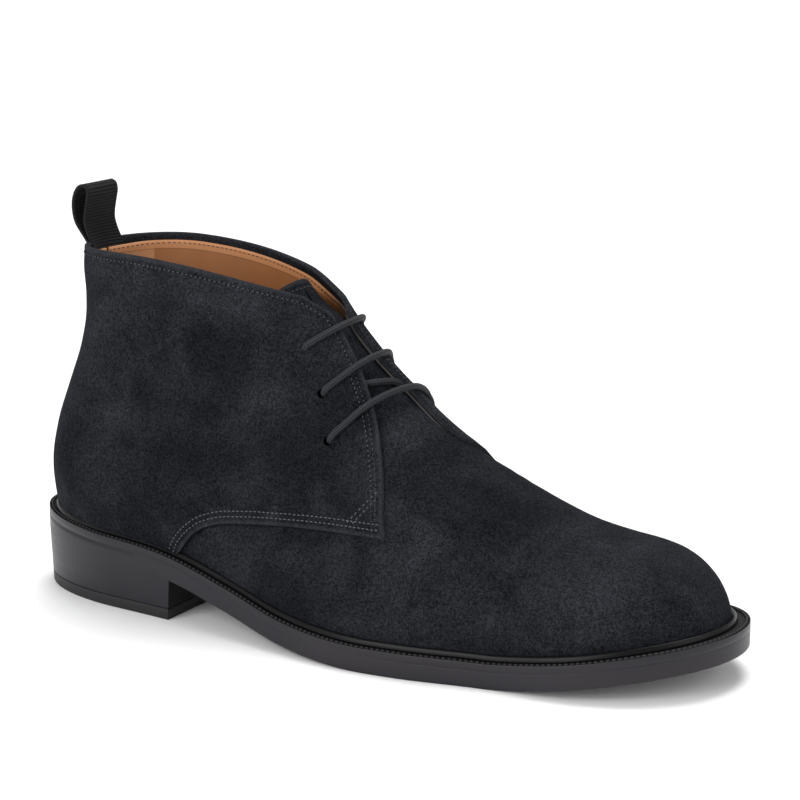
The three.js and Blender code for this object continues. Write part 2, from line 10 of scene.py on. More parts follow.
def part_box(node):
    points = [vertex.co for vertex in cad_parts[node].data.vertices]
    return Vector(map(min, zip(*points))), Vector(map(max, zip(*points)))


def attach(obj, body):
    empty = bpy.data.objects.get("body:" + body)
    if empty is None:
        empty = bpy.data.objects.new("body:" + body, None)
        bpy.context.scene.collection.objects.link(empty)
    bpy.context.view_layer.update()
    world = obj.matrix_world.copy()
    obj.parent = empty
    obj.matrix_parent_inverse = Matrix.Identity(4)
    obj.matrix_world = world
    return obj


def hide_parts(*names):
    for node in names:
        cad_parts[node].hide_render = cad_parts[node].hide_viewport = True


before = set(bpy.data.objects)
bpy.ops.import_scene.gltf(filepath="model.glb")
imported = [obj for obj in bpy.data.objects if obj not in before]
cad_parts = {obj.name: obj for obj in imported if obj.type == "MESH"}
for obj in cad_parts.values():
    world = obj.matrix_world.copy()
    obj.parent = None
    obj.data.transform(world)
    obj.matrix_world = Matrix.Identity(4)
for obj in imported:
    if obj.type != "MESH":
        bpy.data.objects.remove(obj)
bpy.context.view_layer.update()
scene = bpy.context.scene
pi = math.pi


# ---- tables of the last and the sole: a row for each section, a named column for each size
def table(names, rows):
    names = names.split()
    return {name: np.array([row[i] for row in rows], float) for i, name in enumerate(names)}


soleRows = table("x under half centre", [
    (0, 23.0, 34.6, 0.0), (40, 20.2, 34.5, -0.8), (82, 16.6, 35.5, -3.8), (112, 9.6, 37.2, -6.6),
    (140, 3.0, 40.8, -9.0), (170, 0.3, 46.0, -8.0), (192, 0.0, 48.2, -4.4), (226, 0.0, 47.8, 1.2),
    (254, 3.6, 46.8, 1.8), (285, 9.0, 46.2, 3.0), (305, 12.0, 46.0, 4.0),
])
ridgeRows = table("x z y arch", [
    (118, 168, -0.5, 2), (124, 151.5, -1, 2), (131, 136, -1.5, 2), (138, 124.4, -2, 2),
    (147, 113.8, -2.8, 2), (157, 104.4, -3.5, 2), (169.5, 94.3, -4, 1.95), (182, 84.2, -4, 1.92),
    (195, 75.2, -3.2, 1.9), (209, 67, -1.6, 1.92), (224.5, 58.7, 0.8, 1.98), (238, 52.8, 3, 2.05),
    (252, 49.2, 4.8, 2.15), (264, 47.2, 5.8, 2.25), (274, 44.9, 6.2, 2.3), (283, 40.9, 6, 2.35),
    (289.5, 36.2, 5.4, 2.35), (294.5, 30.2, 4.6, 2.3), (297.5, 23.8, 4.1, 2.2), (299, 18, 4, 2.2),
])
shaftRows = table("z back half", [
    (20, 7.3, 31.6), (34, 6.4, 31.6), (46, 6.0, 31.5), (58, 7.2, 31.0), (71, 10.2, 29.9),
    (85, 15.2, 28.5), (101, 21.2, 27.2), (113, 24.0, 26.7), (123, 24.5, 26.9), (134, 23.9, 27.8),
    (142, 24.6, 28.5), (156, 26.4, 29.5),
])
ribRows = table("at outer inner top bow facing facingInner", [
    (0.000, 298.4, 298.4, 298.4, 0, 100, 100), (0.050, 292.8, 292.8, 293.8, 0, 100, 100),
    (0.110, 279, 279, 280, 0, 100, 100), (0.190, 257, 258, 258, 0, 100, 100),
    (0.290, 228, 233, 232, 0, 100, 100), (0.390, 198, 214, 213, 0, 100, 100),
    (0.500, 160, 192, 196, 0, 100, 104), (0.512, 155, 186.5, 193.2, 0, 105, 150),
    (0.540, 144.5, 172, 187, 0, 118, 171), (0.580, 129, 150, 178, 0, 133.5, 174),
    (0.660, 91, 98, 161.5, 0, 155, 177.5), (0.730, 48, 50, 150, 0.8, 165, 177.5),
    (0.790, 18, 18, 144, 1.8, 168, 177), (0.83, 6.4, 6.4, 141.6, 2.6, 168.5, 176),
    (0.92, 6.4, 6.4, 138.6, 4.6, 165.5, 171), (1.00, 6.4, 6.4, 136.2, 6.2, 150.5, 156),
    (1.10, 6.4, 6.4, 131, 6.2, 132, 140),
])
backRows = table("at z", [(0.83, 32.3), (0.92, 92), (1.00, 141.5), (1.10, 155)])
seamRows = table("x z", [
    (83, 24), (86.5, 30), (91, 35), (97, 39.6), (105, 42.8), (116, 44.6), (135, 46.4), (160, 47.6),
    (184, 48.6),
])
weltRows = table("x show", [(0, 4.6), (60, 5.2), (120, 4.8), (200, 5.2), (305, 5.4)])

sole = {"length": 305.0, "outsole": 6.1, "welt": 3.3, "gap": 0.3, "heelRadius": 52.0,
        "toeRadius": 60.0, "toeX": 298.4, "heelBreast": 82.5, "heelTaper": 0.9, "lift": 4.6,
        "innerRise": -0.6, "throatRib": 0.5, "heelRib": 0.83}


# smooth curve through two columns, the same one the solids use
class Curve:
    def __init__(self, keys, values):
        self.k, self.v = np.array(keys, float), np.array(values, float)
        self.h = np.diff(self.k)
        slope = np.diff(self.v) / self.h
        middle = (slope[:-1] * self.h[1:] + slope[1:] * self.h[:-1]) / (self.h[:-1] + self.h[1:])
        self.m = np.concatenate([slope[:1], middle, slope[-1:]])

    def __call__(self, at):
        at = np.clip(at, self.k[0], self.k[-1])
        i = np.clip(np.searchsorted(self.k, at, side="right") - 1, 0, len(self.k) - 2)
        h = self.h[i]
        t = (at - self.k[i]) / h
        t2, t3 = t * t, t * t * t
        return ((2 * t3 - 3 * t2 + 1) * self.v[i] + (t3 - 2 * t2 + t) * h * self.m[i]
                + (3 * t2 - 2 * t3) * self.v[i + 1] + (t3 - t2) * h * self.m[i + 1])


soleUnder = Curve(soleRows["x"], soleRows["under"])
soleHalf = Curve(soleRows["x"], soleRows["half"])
soleCentre = Curve(soleRows["x"], soleRows["centre"])
ridgeZ = Curve(ridgeRows["x"], ridgeRows["z"])
ridgeY = Curve(ridgeRows["x"], ridgeRows["y"])
ridgeArch = Curve(ridgeRows["x"], ridgeRows["arch"])
frontByDepth = Curve(-ridgeRows["z"], ridgeRows["x"])
shaftBack = Curve(shaftRows["z"], shaftRows["back"])
shaftHalf = Curve(shaftRows["z"], shaftRows["half"])
ribTop = Curve(ribRows["at"], ribRows["top"])
ribBow = Curve(ribRows["at"], ribRows["bow"])
ribBase = {-1: Curve(ribRows["at"], ribRows["outer"]), 1: Curve(ribRows["at"], ribRows["inner"])}
ribFacing = {-1: Curve(ribRows["at"], np.radians(ribRows["facing"])),
             1: Curve(ribRows["at"], np.radians(ribRows["facingInner"]))}
backHeight = Curve(backRows["at"], backRows["z"])
seamHeight = Curve(seamRows["x"], seamRows["z"])
weltShow = Curve(weltRows["x"], weltRows["show"])


# smooth step from 0 at low to 1 at high
def ease(low, high, at):
    t = np.clip((at - low) / (high - low), 0, 1)
    return t * t * (3 - 2 * t)


# quarter circle from 0 to 1 over a radius
def roundRise(distance, radius):
    t = np.clip(distance / radius, 0, 1)
    return np.sqrt(np.maximum(0, 1 - (1 - t) ** 2))


# flat to the start, then round down to 0 at 1
def crown(fraction, start, power):
    t = np.clip((fraction - start) / (1 - start), 0, 1)
    return np.maximum(0, 1 - t ** power) ** (1 / power)


def underside(x):
    return np.maximum(0, soleUnder(x))


def weltTop(x):
    return underside(x) + sole["outsole"] + sole["gap"] + sole["welt"]


def featherHeight(x):
    return weltTop(x) + sole["gap"]


def lengthAlong(line):
    return np.concatenate([[0], np.cumsum(np.linalg.norm(np.diff(line, axis=0), axis=1))])


def unit(vectors):
    return vectors / np.maximum(1e-9, np.linalg.norm(vectors, axis=-1, keepdims=True))


# how the foot's outline passes into the shaft and over the ridge
form = {"toeFrom": 262, "toeInset": 3, "swell": 2.4, "swellHeight": 34, "shaftRise": (4, 62),
        "shaftEnd": (150, 215), "backRadius": 42, "backTighter": 11, "tighterBy": 30,
        "frontRadius": 60, "archStart": 0.24, "archTurn": (128, 195), "ridgeTurn": (60, 200)}


# sideways place of the upper's outside; side is 1 inner, -1 outer
def formY(x, z, side):
    base = featherHeight(x)
    rise = np.maximum(0, z - base)
    toe = 1 - ease(form["toeFrom"], sole["toeX"], x)
    plan = (soleHalf(x) - weltShow(x)) * roundRise(
        sole["toeX"] - x, sole["toeRadius"] - form["toeInset"])
    swell = form["swell"] * np.sin(pi * np.clip(rise / form["swellHeight"], 0, 1)) * toe
    foot = plan + side * soleCentre(x) + swell
    shaft = ease(*form["shaftRise"], rise) * (1 - ease(*form["shaftEnd"], x))
    width = foot * (1 - shaft) + shaftHalf(z) * shaft
    radius = form["backRadius"] - form["backTighter"] * ease(0, form["tighterBy"], rise)
    heel = roundRise(x - shaftBack(z), radius)
    across = crown((x - frontByDepth(-z)) / form["frontRadius"] + 1, 0, 2)
    height = np.maximum(0.01, ridgeZ(x) - base)
    over = crown(rise / height, form["archStart"] * toe, ridgeArch(x))
    turn = ease(*form["archTurn"], x)
    arch = across * (1 - turn) + over * turn
    ridge = ridgeY(x) * ease(*form["ridgeTurn"], x)
    return ridge + side * (width - side * ridge) * arch * heel


# the form's ribs fan out from the sole; at picks a rib and angle climbs it from the feather edge to the ridge
def formPoint(at, angle, side):
    at, angle = np.broadcast_arrays(np.asarray(at, float), np.asarray(angle, float))
    share = (1 - np.cos(angle)) / 2
    topX = ribTop(at)
    topZ = ridgeZ(topX)
    baseX = ribBase[side](at)
    baseZ = featherHeight(baseX)
    onBack = at >= sole["heelRib"]
    seatZ = backHeight(np.maximum(at, sole["heelRib"]))
    baseZ = np.where(onBack, seatZ, baseZ)
    baseX = np.where(onBack, shaftBack(seatZ), baseX)
    bow = ribBow(at) + (sole["innerRise"] * ease(0.7, 1, at) if side > 0 else 0)
    x = baseX + (topX - baseX) * share
    z = baseZ + (topZ - baseZ) * share + bow * 4 * share * (1 - share)
    return np.stack([x, formY(x, z, side), z], -1)


def formNormal(at, angle, side):
    lowAt = np.maximum(0.004, at - 0.004)
    lowAngle = np.maximum(0.002, angle - 0.02)
    highAngle = np.minimum(pi, angle + 0.02)
    along = formPoint(at + 0.004, angle, side) - formPoint(lowAt, angle, side)
    across = formPoint(at, highAngle, side) - formPoint(at, lowAngle, side)
    return side * unit(np.cross(along, across))


def offForm(at, angle, side, offset):
    at, angle = np.broadcast_arrays(np.asarray(at, float), np.asarray(angle, float))
    return formPoint(at, angle, side) + formNormal(at, angle, side) * np.asarray(offset)[..., None]


# angle on each rib where test first turns from negative, counted down from the ridge
def angleWhere(at, side, test):
    at = np.asarray(at, float)
    angles = np.radians(np.arange(180, -1, -1))
    value = test(formPoint(at[:, None], angles[None, :], side))
    hit = value[:, 1:] >= 0
    first = np.argmax(hit, axis=1)
    found = hit.any(axis=1)
    low = angles[first + 1]
    high = angles[first]
    for _ in range(20):
        middle = (low + high) / 2
        inside = test(formPoint(at, middle, side)) >= 0
        low = np.where(inside, middle, low)
        high = np.where(inside, high, middle)
    return np.where(found, low, 0)


def belowSeam(p):
    return np.where(p[..., 0] < seamRows["x"][0], -1, seamHeight(p[..., 0]) - p[..., 2])


def seamAngle(at, side):
    return angleWhere(at, side, belowSeam)


tiny = 1e-4   # step of rib or angle over which a slope is taken


# rib and angle of the place at x, z on one side, looked for from a place near it
def locate(x, z, side, near):
    at, angle = near
    for _ in range(40):
        p = formPoint(at, angle, side)
        a = (formPoint(at + tiny, angle, side) - p) / tiny
        b = (formPoint(at, angle + tiny, side) - p) / tiny
        slopes = np.array([[a[0], b[0]], [a[2], b[2]]])
        move = np.linalg.lstsq(slopes, np.array([x - p[0], z - p[2]]), rcond=None)[0]
        at = float(np.clip(at + np.clip(move[0], -0.05, 0.05), 0.01, 1.05))
        angle = float(np.clip(angle + np.clip(move[1], -0.2, 0.2), 0.02, 3.1))
    return at, angle


# a line on the form moved inwards from an edge by a distance; middle is the panel's middle
def inset(at, angle, side, distance, middle, steps=4):
    at, angle = np.array(at, float), np.array(angle, float)
    for _ in range(steps):
        p = formPoint(at, angle, side)
        inward = np.cross(formNormal(at, angle, side), unit(np.gradient(p, axis=0)))
        inward *= np.sign((inward * (middle - p)).sum()) * distance / steps
        # the change of rib and angle that comes nearest to the step inwards
        a = (formPoint(at + tiny, angle, side) - p) / tiny
        b = (formPoint(at, angle + tiny, side) - p) / tiny
        aa, ab, bb = ((i * j).sum(1) for i, j in ((a, a), (a, b), (b, b)))
        ai, bi = (a * inward).sum(1), (b * inward).sum(1)
        scale = np.maximum(1e-6, aa * bb - ab * ab)
        at = at + (ai * bb - bi * ab) / scale
        angle = angle + (bi * aa - ai * ab) / scale
    return at, angle


# closed line round the sole, inset from its outline; height is over the underside
def loopLine(turn, inset, height):
    low, high = inset, sole["length"] - inset
    x = low + (high - low) * (1 - np.cos(turn * 2 * pi)) / 2
    side = np.where(turn < 0.5, -1.0, 1.0)
    half = np.maximum(0, soleHalf(x) - inset) * roundRise(high - x, sole["toeRadius"])
    y = (soleCentre(x) + side * half) * roundRise(x - low, sole["heelRadius"])
    return np.stack([x, y, underside(x) + height], -1)


# ---- into the frame: the outsole's heel end is x 0, and its lowest y is the outline's
outline = loopLine(np.linspace(0, 1, 2001), 0, 0)
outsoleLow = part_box("outsole")[0]
shift = np.array([outsoleLow.x * 1000, outsoleLow.y * 1000 - outline[:, 1].min(), 0.0])
shift[1] = round(shift[1], 1)


def toFrame(points):
    return (np.asarray(points, float) + shift) / 1000


# ---- meshes
def makeMesh(name, points, faces, uv=None):
    mesh = bpy.data.meshes.new(name)
    mesh.from_pydata(toFrame(points).tolist(), [], faces)
    if uv is not None:
        layer = mesh.uv_layers.new(name="UVMap")
        layer.data.foreach_set("uv", np.asarray(uv, np.float32).ravel())
    mesh.polygons.foreach_set("use_smooth", [True] * len(mesh.polygons))
    mesh.update()
    obj = bpy.data.objects.new(name, mesh)
    scene.collection.objects.link(obj)
    return obj


# sheet of rows by columns; u and v are the rows' and columns' lengths in millimetres for the UV map
def grid(name, points, closeRows=False, closeCols=False, u=None, v=None):
    n, m = points.shape[:2]
    rows = n if closeRows else n - 1
    cols = m if closeCols else m - 1
    i, j = (k.ravel() for k in np.meshgrid(np.arange(rows), np.arange(cols), indexing="ij"))
    corners = [(i, j), (i, j + 1), (i + 1, j + 1), (i + 1, j)]
    faces = np.stack([(a % n) * m + (b % m) for a, b in corners], -1)
    uv = None
    if u is not None:
        uv = np.stack([np.stack([u[a], v[b]], -1) for a, b in corners], 1) / 1000
    return makeMesh(name, points.reshape(-1, 3), faces.tolist(), uv)


def setAttribute(obj, name, values):
    layer = obj.data.attributes.new(name, "FLOAT", "POINT")
    layer.data.foreach_set("value", np.asarray(values, np.float32).ravel())


def triples(items, key, kind=np.float32):
    values = np.empty(len(items) * 3, kind)
    items.foreach_get(key, values)
    return values.reshape(-1, 3)


def signedVolume(mesh):
    mesh.calc_loop_triangles()
    p = triples(mesh.vertices, "co")[triples(mesh.loop_triangles, "vertices", np.int32)]
    return float((p[:, 0] * np.cross(p[:, 1], p[:, 2])).sum() / 6)


# turns a closed piece right side out
def flipIfInward(obj):
    if signedVolume(obj.data) < 0:
        obj.data.flip_normals()
    return obj


def addModifier(obj, kind, **settings):
    modifier = obj.modifiers.new(kind.lower(), kind)
    for key, value in settings.items():
        setattr(modifier, key, value)
    return modifier


# turns the modifiers' result into the object's own mesh
def bake(obj):
    bpy.context.view_layer.update()
    graph = bpy.context.evaluated_depsgraph_get()
    mesh = bpy.data.meshes.new_from_object(obj.evaluated_get(graph))
    obj.modifiers.clear()
    old = obj.data
    obj.data = mesh
    mesh.name = obj.name
    bpy.data.meshes.remove(old)
    return obj


# gives a sheet its wall
def thicken(obj, thickness):
    addModifier(obj, "SOLIDIFY", thickness=thickness / 1000, offset=-1, use_even_offset=False,
                use_quality_normals=True)
    flipIfInward(bake(obj))
    obj.data.polygons.foreach_set("use_smooth", [True] * len(obj.data.polygons))
    return obj


# rings with a point at the middle of the first and the last, which closes a tube's ends
def capped(rings):
    ends = [np.broadcast_to(ring.mean(0), ring.shape)[None] for ring in (rings[0], rings[-1])]
    return np.concatenate([ends[0], rings, ends[1]], 0)


# closed wall between two sheets, with rounded edges along both sides and the last row;
# roundings are the angles, up to 90 degrees, where an edge has a row of points
def shell(name, outer, inner, bulge, roundings=(35, 65), adjust=None, capFirst=False):
    middle, half = (outer + inner) / 2, (outer - inner) / 2
    bends = np.radians([*roundings, 90, *(180 - r for r in roundings[::-1])])

    def edge(j, k, bends):
        out = unit(middle[:, j] - middle[:, k]) * bulge
        return np.stack([middle[:, j] + half[:, j] * math.cos(b) + out * math.sin(b) for b in bends], 1)

    rows = np.concatenate([outer, edge(-1, -2, bends), inner[:, ::-1], edge(0, 1, bends[::-1])], 1)
    m, n = outer.shape[1], len(bends)
    column = np.concatenate([np.arange(m), np.full(n, m - 1), np.arange(m)[::-1], np.zeros(n, int)])
    out = (unit(middle[-1] - middle[-2]) * bulge)[column]
    last = middle[-1][column]
    ends = [last + (rows[-1] - last) * math.cos(b) + out * math.sin(b)
            for b in bends[:len(roundings) + 1]]
    points = np.concatenate([rows, np.stack(ends, 0)], 0)
    if capFirst:
        cap = np.repeat(rows[:1].mean(1, keepdims=True), rows.shape[1], 1)
        points = np.concatenate([cap, points], 0)
    if adjust:
        points = adjust(points)
    return grid(name, points, closeCols=True), m, n


# sheet whose front faces along the given normals
def faceAlong(obj, normals):
    if (triples(obj.data.vertices, "normal") * normals.reshape(-1, 3)).sum() < 0:
        obj.data.flip_normals()
    return obj


# gentle unevenness of the form, by bumps of one size
def softNoise(points, size, seed):
    offset = Vector((seed * 3.7, seed * 1.3, seed * 2.1))
    return np.array([noise.noise(Vector(p) / size + offset) for p in points.reshape(-1, 3)]
                    ).reshape(points.shape[:-1])


# distance of each point to the nearest one of a line
def distanceTo(points, line):
    tree = KDTree(len(line))
    for i, p in enumerate(line):
        tree.insert(p, i)
    tree.balance()
    return np.array([tree.find(p)[2] for p in points.reshape(-1, 3)]).reshape(points.shape[:-1])


def dense(line, spacing=0.3):
    length = lengthAlong(line)
    at = np.arange(0, length[-1], spacing)
    return np.stack([np.interp(at, length, line[:, k]) for k in range(3)], -1)


def smoothLine(points, count):
    points = np.asarray(points, float)
    length = lengthAlong(points)
    at = np.linspace(0, length[-1], count)
    return np.stack([Curve(length, points[:, k])(at) for k in range(points.shape[1])], -1)


# ---- shader maths
class Value:
    def __init__(self, finish, socket):
        self.finish, self.socket = finish, socket

    def math(self, operation, other, swap=False):
        values = (other, self) if swap else (self, other)
        return self.finish.node("ShaderNodeMath", {"operation": operation},
                                {0: values[0], 1: values[1]})

    def __add__(self, other):
        return self.math("ADD", other)

    def __radd__(self, other):
        return self.math("ADD", other, True)

    def __sub__(self, other):
        return self.math("SUBTRACT", other)

    def __rsub__(self, other):
        return self.math("SUBTRACT", other, True)

    def __mul__(self, other):
        return self.math("MULTIPLY", other)

    def __rmul__(self, other):
        return self.math("MULTIPLY", other, True)


class Finish:
    def __init__(self, name, **constants):
        self.material = bpy.data.materials.new(name)
        self.material.use_nodes = True
        self.tree = self.material.node_tree
        self.shader = self.tree.nodes["Principled BSDF"]
        self.put(constants)
        self.place = self.node("ShaderNodeTexCoord", out="Object")
        self.uv = self.node("ShaderNodeTexCoord", out="UV")

    def node(self, kind, settings=None, inputs=None, out=0):
        made = self.tree.nodes.new(kind)
        for key, value in (settings or {}).items():
            setattr(made, key, value)
        for key, value in (inputs or {}).items():
            self.link(made.inputs[key], value)
        return Value(self, made.outputs[out])

    def link(self, socket, value):
        if isinstance(value, Value):
            self.tree.links.new(value.socket, socket)
        elif socket.type == "RGBA":
            socket.default_value = (*value, 1)
        else:
            socket.default_value = value

    def put(self, values):
        for key, value in values.items():
            self.link(self.shader.inputs[key], value)

    def noise(self, scale, detail=2.0, roughness=0.5, vector=None, distortion=0.0):
        return self.node("ShaderNodeTexNoise", None,
                         {"Vector": vector or self.place, "Scale": scale, "Detail": detail,
                          "Roughness": roughness, "Distortion": distortion}, "Fac")

    def spread(self, value, low, high, outLow=0.0, outHigh=1.0):
        return self.node("ShaderNodeMapRange", {"interpolation_type": "SMOOTHSTEP"},
                         {"Value": value, "From Min": low, "From Max": high, "To Min": outLow,
                          "To Max": outHigh}, "Result")

    def mix(self, factor, a, b):
        return self.node("ShaderNodeMix", {"data_type": "RGBA"}, {0: factor, 6: a, 7: b}, 2)

    def attribute(self, name):
        return self.node("ShaderNodeAttribute", {"attribute_name": name}, None, "Fac")

    def stretched(self, vector, scale):
        return self.node("ShaderNodeMapping", None, {"Vector": vector, "Scale": scale}, "Vector")

    def part(self, vector, axis):
        return self.node("ShaderNodeSeparateXYZ", None, {0: vector}, axis)

    def bump(self, height, strength, distance):
        return self.node("ShaderNodeBump", None,
                         {"Height": height, "Strength": strength, "Distance": distance}, "Normal")


# napped leather: brushed patches, short fibres, and edges rubbed a little paler
suedeLook = {"dark": (0.0012, 0.0014, 0.0022), "pale": (0.0345, 0.0362, 0.0425),
             "edge": (0.034, 0.036, 0.041), "brushed": 9.0, "patch": 42.0, "clump": 820.0,
             "fibre": 2100.0}


def suedeFinish(name, edges=False):
    look = suedeLook
    f = Finish(name, **{"Specular IOR Level": 0.03, "Sheen Weight": 0.012, "Sheen Roughness": 0.5,
                        "Sheen Tint": (0.7, 0.8, 1.0)})
    patches = f.noise(look["patch"], 4.0, 0.6, distortion=0.6)
    brushed = f.noise(look["brushed"], 3.0, 0.55, f.stretched(f.place, (1.0, 1.0, 1.7)), 1.2)
    fibre = f.noise(look["fibre"], 2.0, 0.6)
    clump = f.noise(look["clump"], 3.0, 0.7)
    nap = f.spread(patches * 0.5 + brushed * 0.5, 0.34, 0.68)
    grain = f.spread(fibre * 0.6 + clump * 0.4, 0.37, 0.65)
    level = nap * (0.18 + grain * 0.44) + grain * 0.40
    colour = f.mix(level, look["dark"], look["pale"])
    if edges:
        rubbed = f.spread(f.attribute("edge"), 0.2, 1.5, 1.0, 0.0) * (0.25 + grain * 0.5)
        colour = f.mix(rubbed, colour, look["edge"])
    height = fibre * 0.7 + clump * 0.8 + patches * 0.5
    f.put({"Base Color": colour, "Roughness": 0.97 - nap * 0.07,
           "Normal": f.bump(height, 0.7, 0.0008)})
    return f.material


# tan lining leather; heelPatch is where the heel's paler piece ends, in millimetres from the back
liningLook = {"dark": (0.245, 0.092, 0.027), "pale": (0.335, 0.137, 0.045), "heelPatch": 36.0,
              "heelDark": (0.42, 0.185, 0.078), "heelPale": (0.50, 0.24, 0.11),
              "strip": (0.50, 0.225, 0.095), "join": (0.09, 0.035, 0.013),
              # the colour for the painted shade near the facing
              "facingShade": (0.035, 0.02, 0.012), "cutEdge": (0.046, 0.043, 0.040)}


# paler along the collar's strip, darker toward the facing as painted shade, and grey at the facing's cut edge
def liningFinish():
    look = liningLook
    f = Finish("liningLeather", **{"Specular IOR Level": 0.4})
    mottle = f.noise(60.0, 4.0, 0.6)
    grain = f.noise(1700.0, 2.0, 0.5)
    edge, cutEdge = f.attribute("edge"), f.attribute("cut")
    patchEnd = float(toFrame((look["heelPatch"], 0, 0))[0])
    heel = f.spread(f.part(f.place, "X"), patchEnd - 0.0004, patchEnd + 0.0004, 1.0, 0.0)
    colour = f.mix(mottle, look["dark"], look["pale"])
    colour = f.mix(heel, colour, f.mix(mottle, look["heelDark"], look["heelPale"]))
    colour = f.mix(f.spread(edge, 5.6, 6.4, 1.0, 0.0) * 0.75, colour, look["strip"])
    join = f.spread(edge, 5.9, 6.1) * f.spread(edge, 6.2, 6.5, 1.0, 0.0)
    colour = f.mix(join * 0.5, colour, look["join"])
    # painted shade: darker within about 13 mm of the facing
    colour = f.mix(f.spread(cutEdge, 2.0, 13.0, 1.0, 0.0) * 0.92, colour, look["facingShade"])
    colour = f.mix(f.spread(cutEdge, 1.2, 3.2, 1.0, 0.0) * 0.97, colour, look["cutEdge"])
    f.put({"Base Color": colour, "Roughness": 0.5 + mottle * 0.15,
           "Normal": f.bump(grain + mottle * 2.0, 0.25, 0.0003)})
    return f.material


def sockFinish():
    f = Finish("insoleLeather", **{"Specular IOR Level": 0.4})
    mottle = f.noise(35.0, 4.0, 0.6)
    grain = f.noise(1500.0, 2.0, 0.5)
    colour = f.mix(mottle, (0.19, 0.08, 0.03), (0.27, 0.12, 0.048))
    f.put({"Base Color": colour, "Roughness": 0.45 + mottle * 0.15,
           "Normal": f.bump(grain, 0.2, 0.0003)})
    return f.material


# dyed and burnished sole edge: faint layers at the given heights, a reddish cast in places
def edgeFinish(name, dark, pale, gloss, shine, layers=()):
    f = Finish(name, **{"Specular IOR Level": shine})
    drift = f.noise(14.0, 3.0, 0.5)
    streak = f.noise(60.0, 4.0, 0.6, f.stretched(f.place, (1.0, 1.0, 9.0)))
    fine = f.noise(900.0, 2.0, 0.5)
    colour = f.mix(drift * 0.6 + streak * 0.4, dark, pale)
    warm = f.spread(f.noise(11.0, 2.0, 0.5, f.stretched(f.place, (1.0, 1.0, 3.0))), 0.5, 0.72)
    colour = f.mix(warm * 0.45, colour, (pale[0] * 1.5, pale[1] * 0.92, pale[2] * 0.9))
    height = fine * 0.25 + streak * 0.8
    z = f.part(f.place, "Z")
    for level in layers:
        near = f.node("ShaderNodeMath", {"operation": "ABSOLUTE"}, {0: z - level / 1000})
        line = f.spread(near, 0.00008, 0.00035, 1.0, 0.0)
        colour = f.mix(line * 0.2, colour, dark)
        height = height - line * 0.5
    f.put({"Base Color": colour, "Roughness": gloss + streak * 0.14,
           "Normal": f.bump(height, 0.22, 0.0004)})
    return f.material


def plainFinish(name, colour, roughness, grainScale=900.0, strength=0.2, **constants):
    f = Finish(name, **constants)
    fine = f.noise(grainScale, 2.0, 0.5)
    drift = f.noise(60.0, 3.0, 0.5)
    lifted = tuple(min(1, c * 1.5 + 0.002) for c in colour)
    f.put({"Base Color": f.mix(drift, colour, lifted), "Roughness": roughness + drift * 0.1,
           "Normal": f.bump(fine, strength, 0.0003)})
    return f.material


# round braided cord: u runs along it and v once round it, both in metres
laceLook = {"strandLength": 0.0017, "strandWidth": 0.00212, "dark": (0.0025, 0.0027, 0.0036),
            "pale": (0.038, 0.0395, 0.046)}


def laceFinish():
    f = Finish("lacingCord", **{"Specular IOR Level": 0.14, "Sheen Weight": 0.02})
    along = f.part(f.uv, "X") * (2 * pi / laceLook["strandLength"])
    around = f.part(f.uv, "Y") * (2 * pi / laceLook["strandWidth"])
    left = f.node("ShaderNodeMath", {"operation": "SINE"}, {0: along + around})
    right = f.node("ShaderNodeMath", {"operation": "SINE"}, {0: along - around})
    braid = f.spread(left * right, -0.8, 0.9)
    fine = f.noise(3000.0, 2.0, 0.5)
    # painted shade: dark in the braid's grooves and pale on the strands' crests
    colour = f.mix(braid * 0.75 + fine * 0.25, laceLook["dark"], laceLook["pale"])
    f.put({"Base Color": colour, "Roughness": 0.6 + fine * 0.1,
           "Normal": f.bump(braid + fine * 0.3, 0.5, 0.0004)})
    return f.material


def webbingFinish():
    f = Finish("ribbedWebbing", **{"Specular IOR Level": 0.12, "Sheen Weight": 0.02})
    rib = f.attribute("rib")
    yarn = f.noise(2600.0, 2.0, 0.5, f.stretched(f.place, (1.0, 0.35, 1.0)))
    # painted shade: dark in the troughs between the ribs and pale on their crests
    colour = f.mix(rib * 0.7 + yarn * 0.3, (0.0022, 0.0022, 0.0026), (0.021, 0.0205, 0.022))
    f.put({"Base Color": colour, "Roughness": 0.85 + yarn * 0.1,
           "Normal": f.bump(yarn, 0.35, 0.0003)})
    return f.material


def threadFinish(name, dark, pale):
    f = Finish(name, **{"Specular IOR Level": 0.3})
    twist = f.noise(2400.0, 1.0, 0.5)
    f.put({"Base Color": f.mix(twist, dark, pale), "Roughness": 0.6 + twist * 0.15,
           "Normal": f.bump(twist, 0.3, 0.0002)})
    return f.material


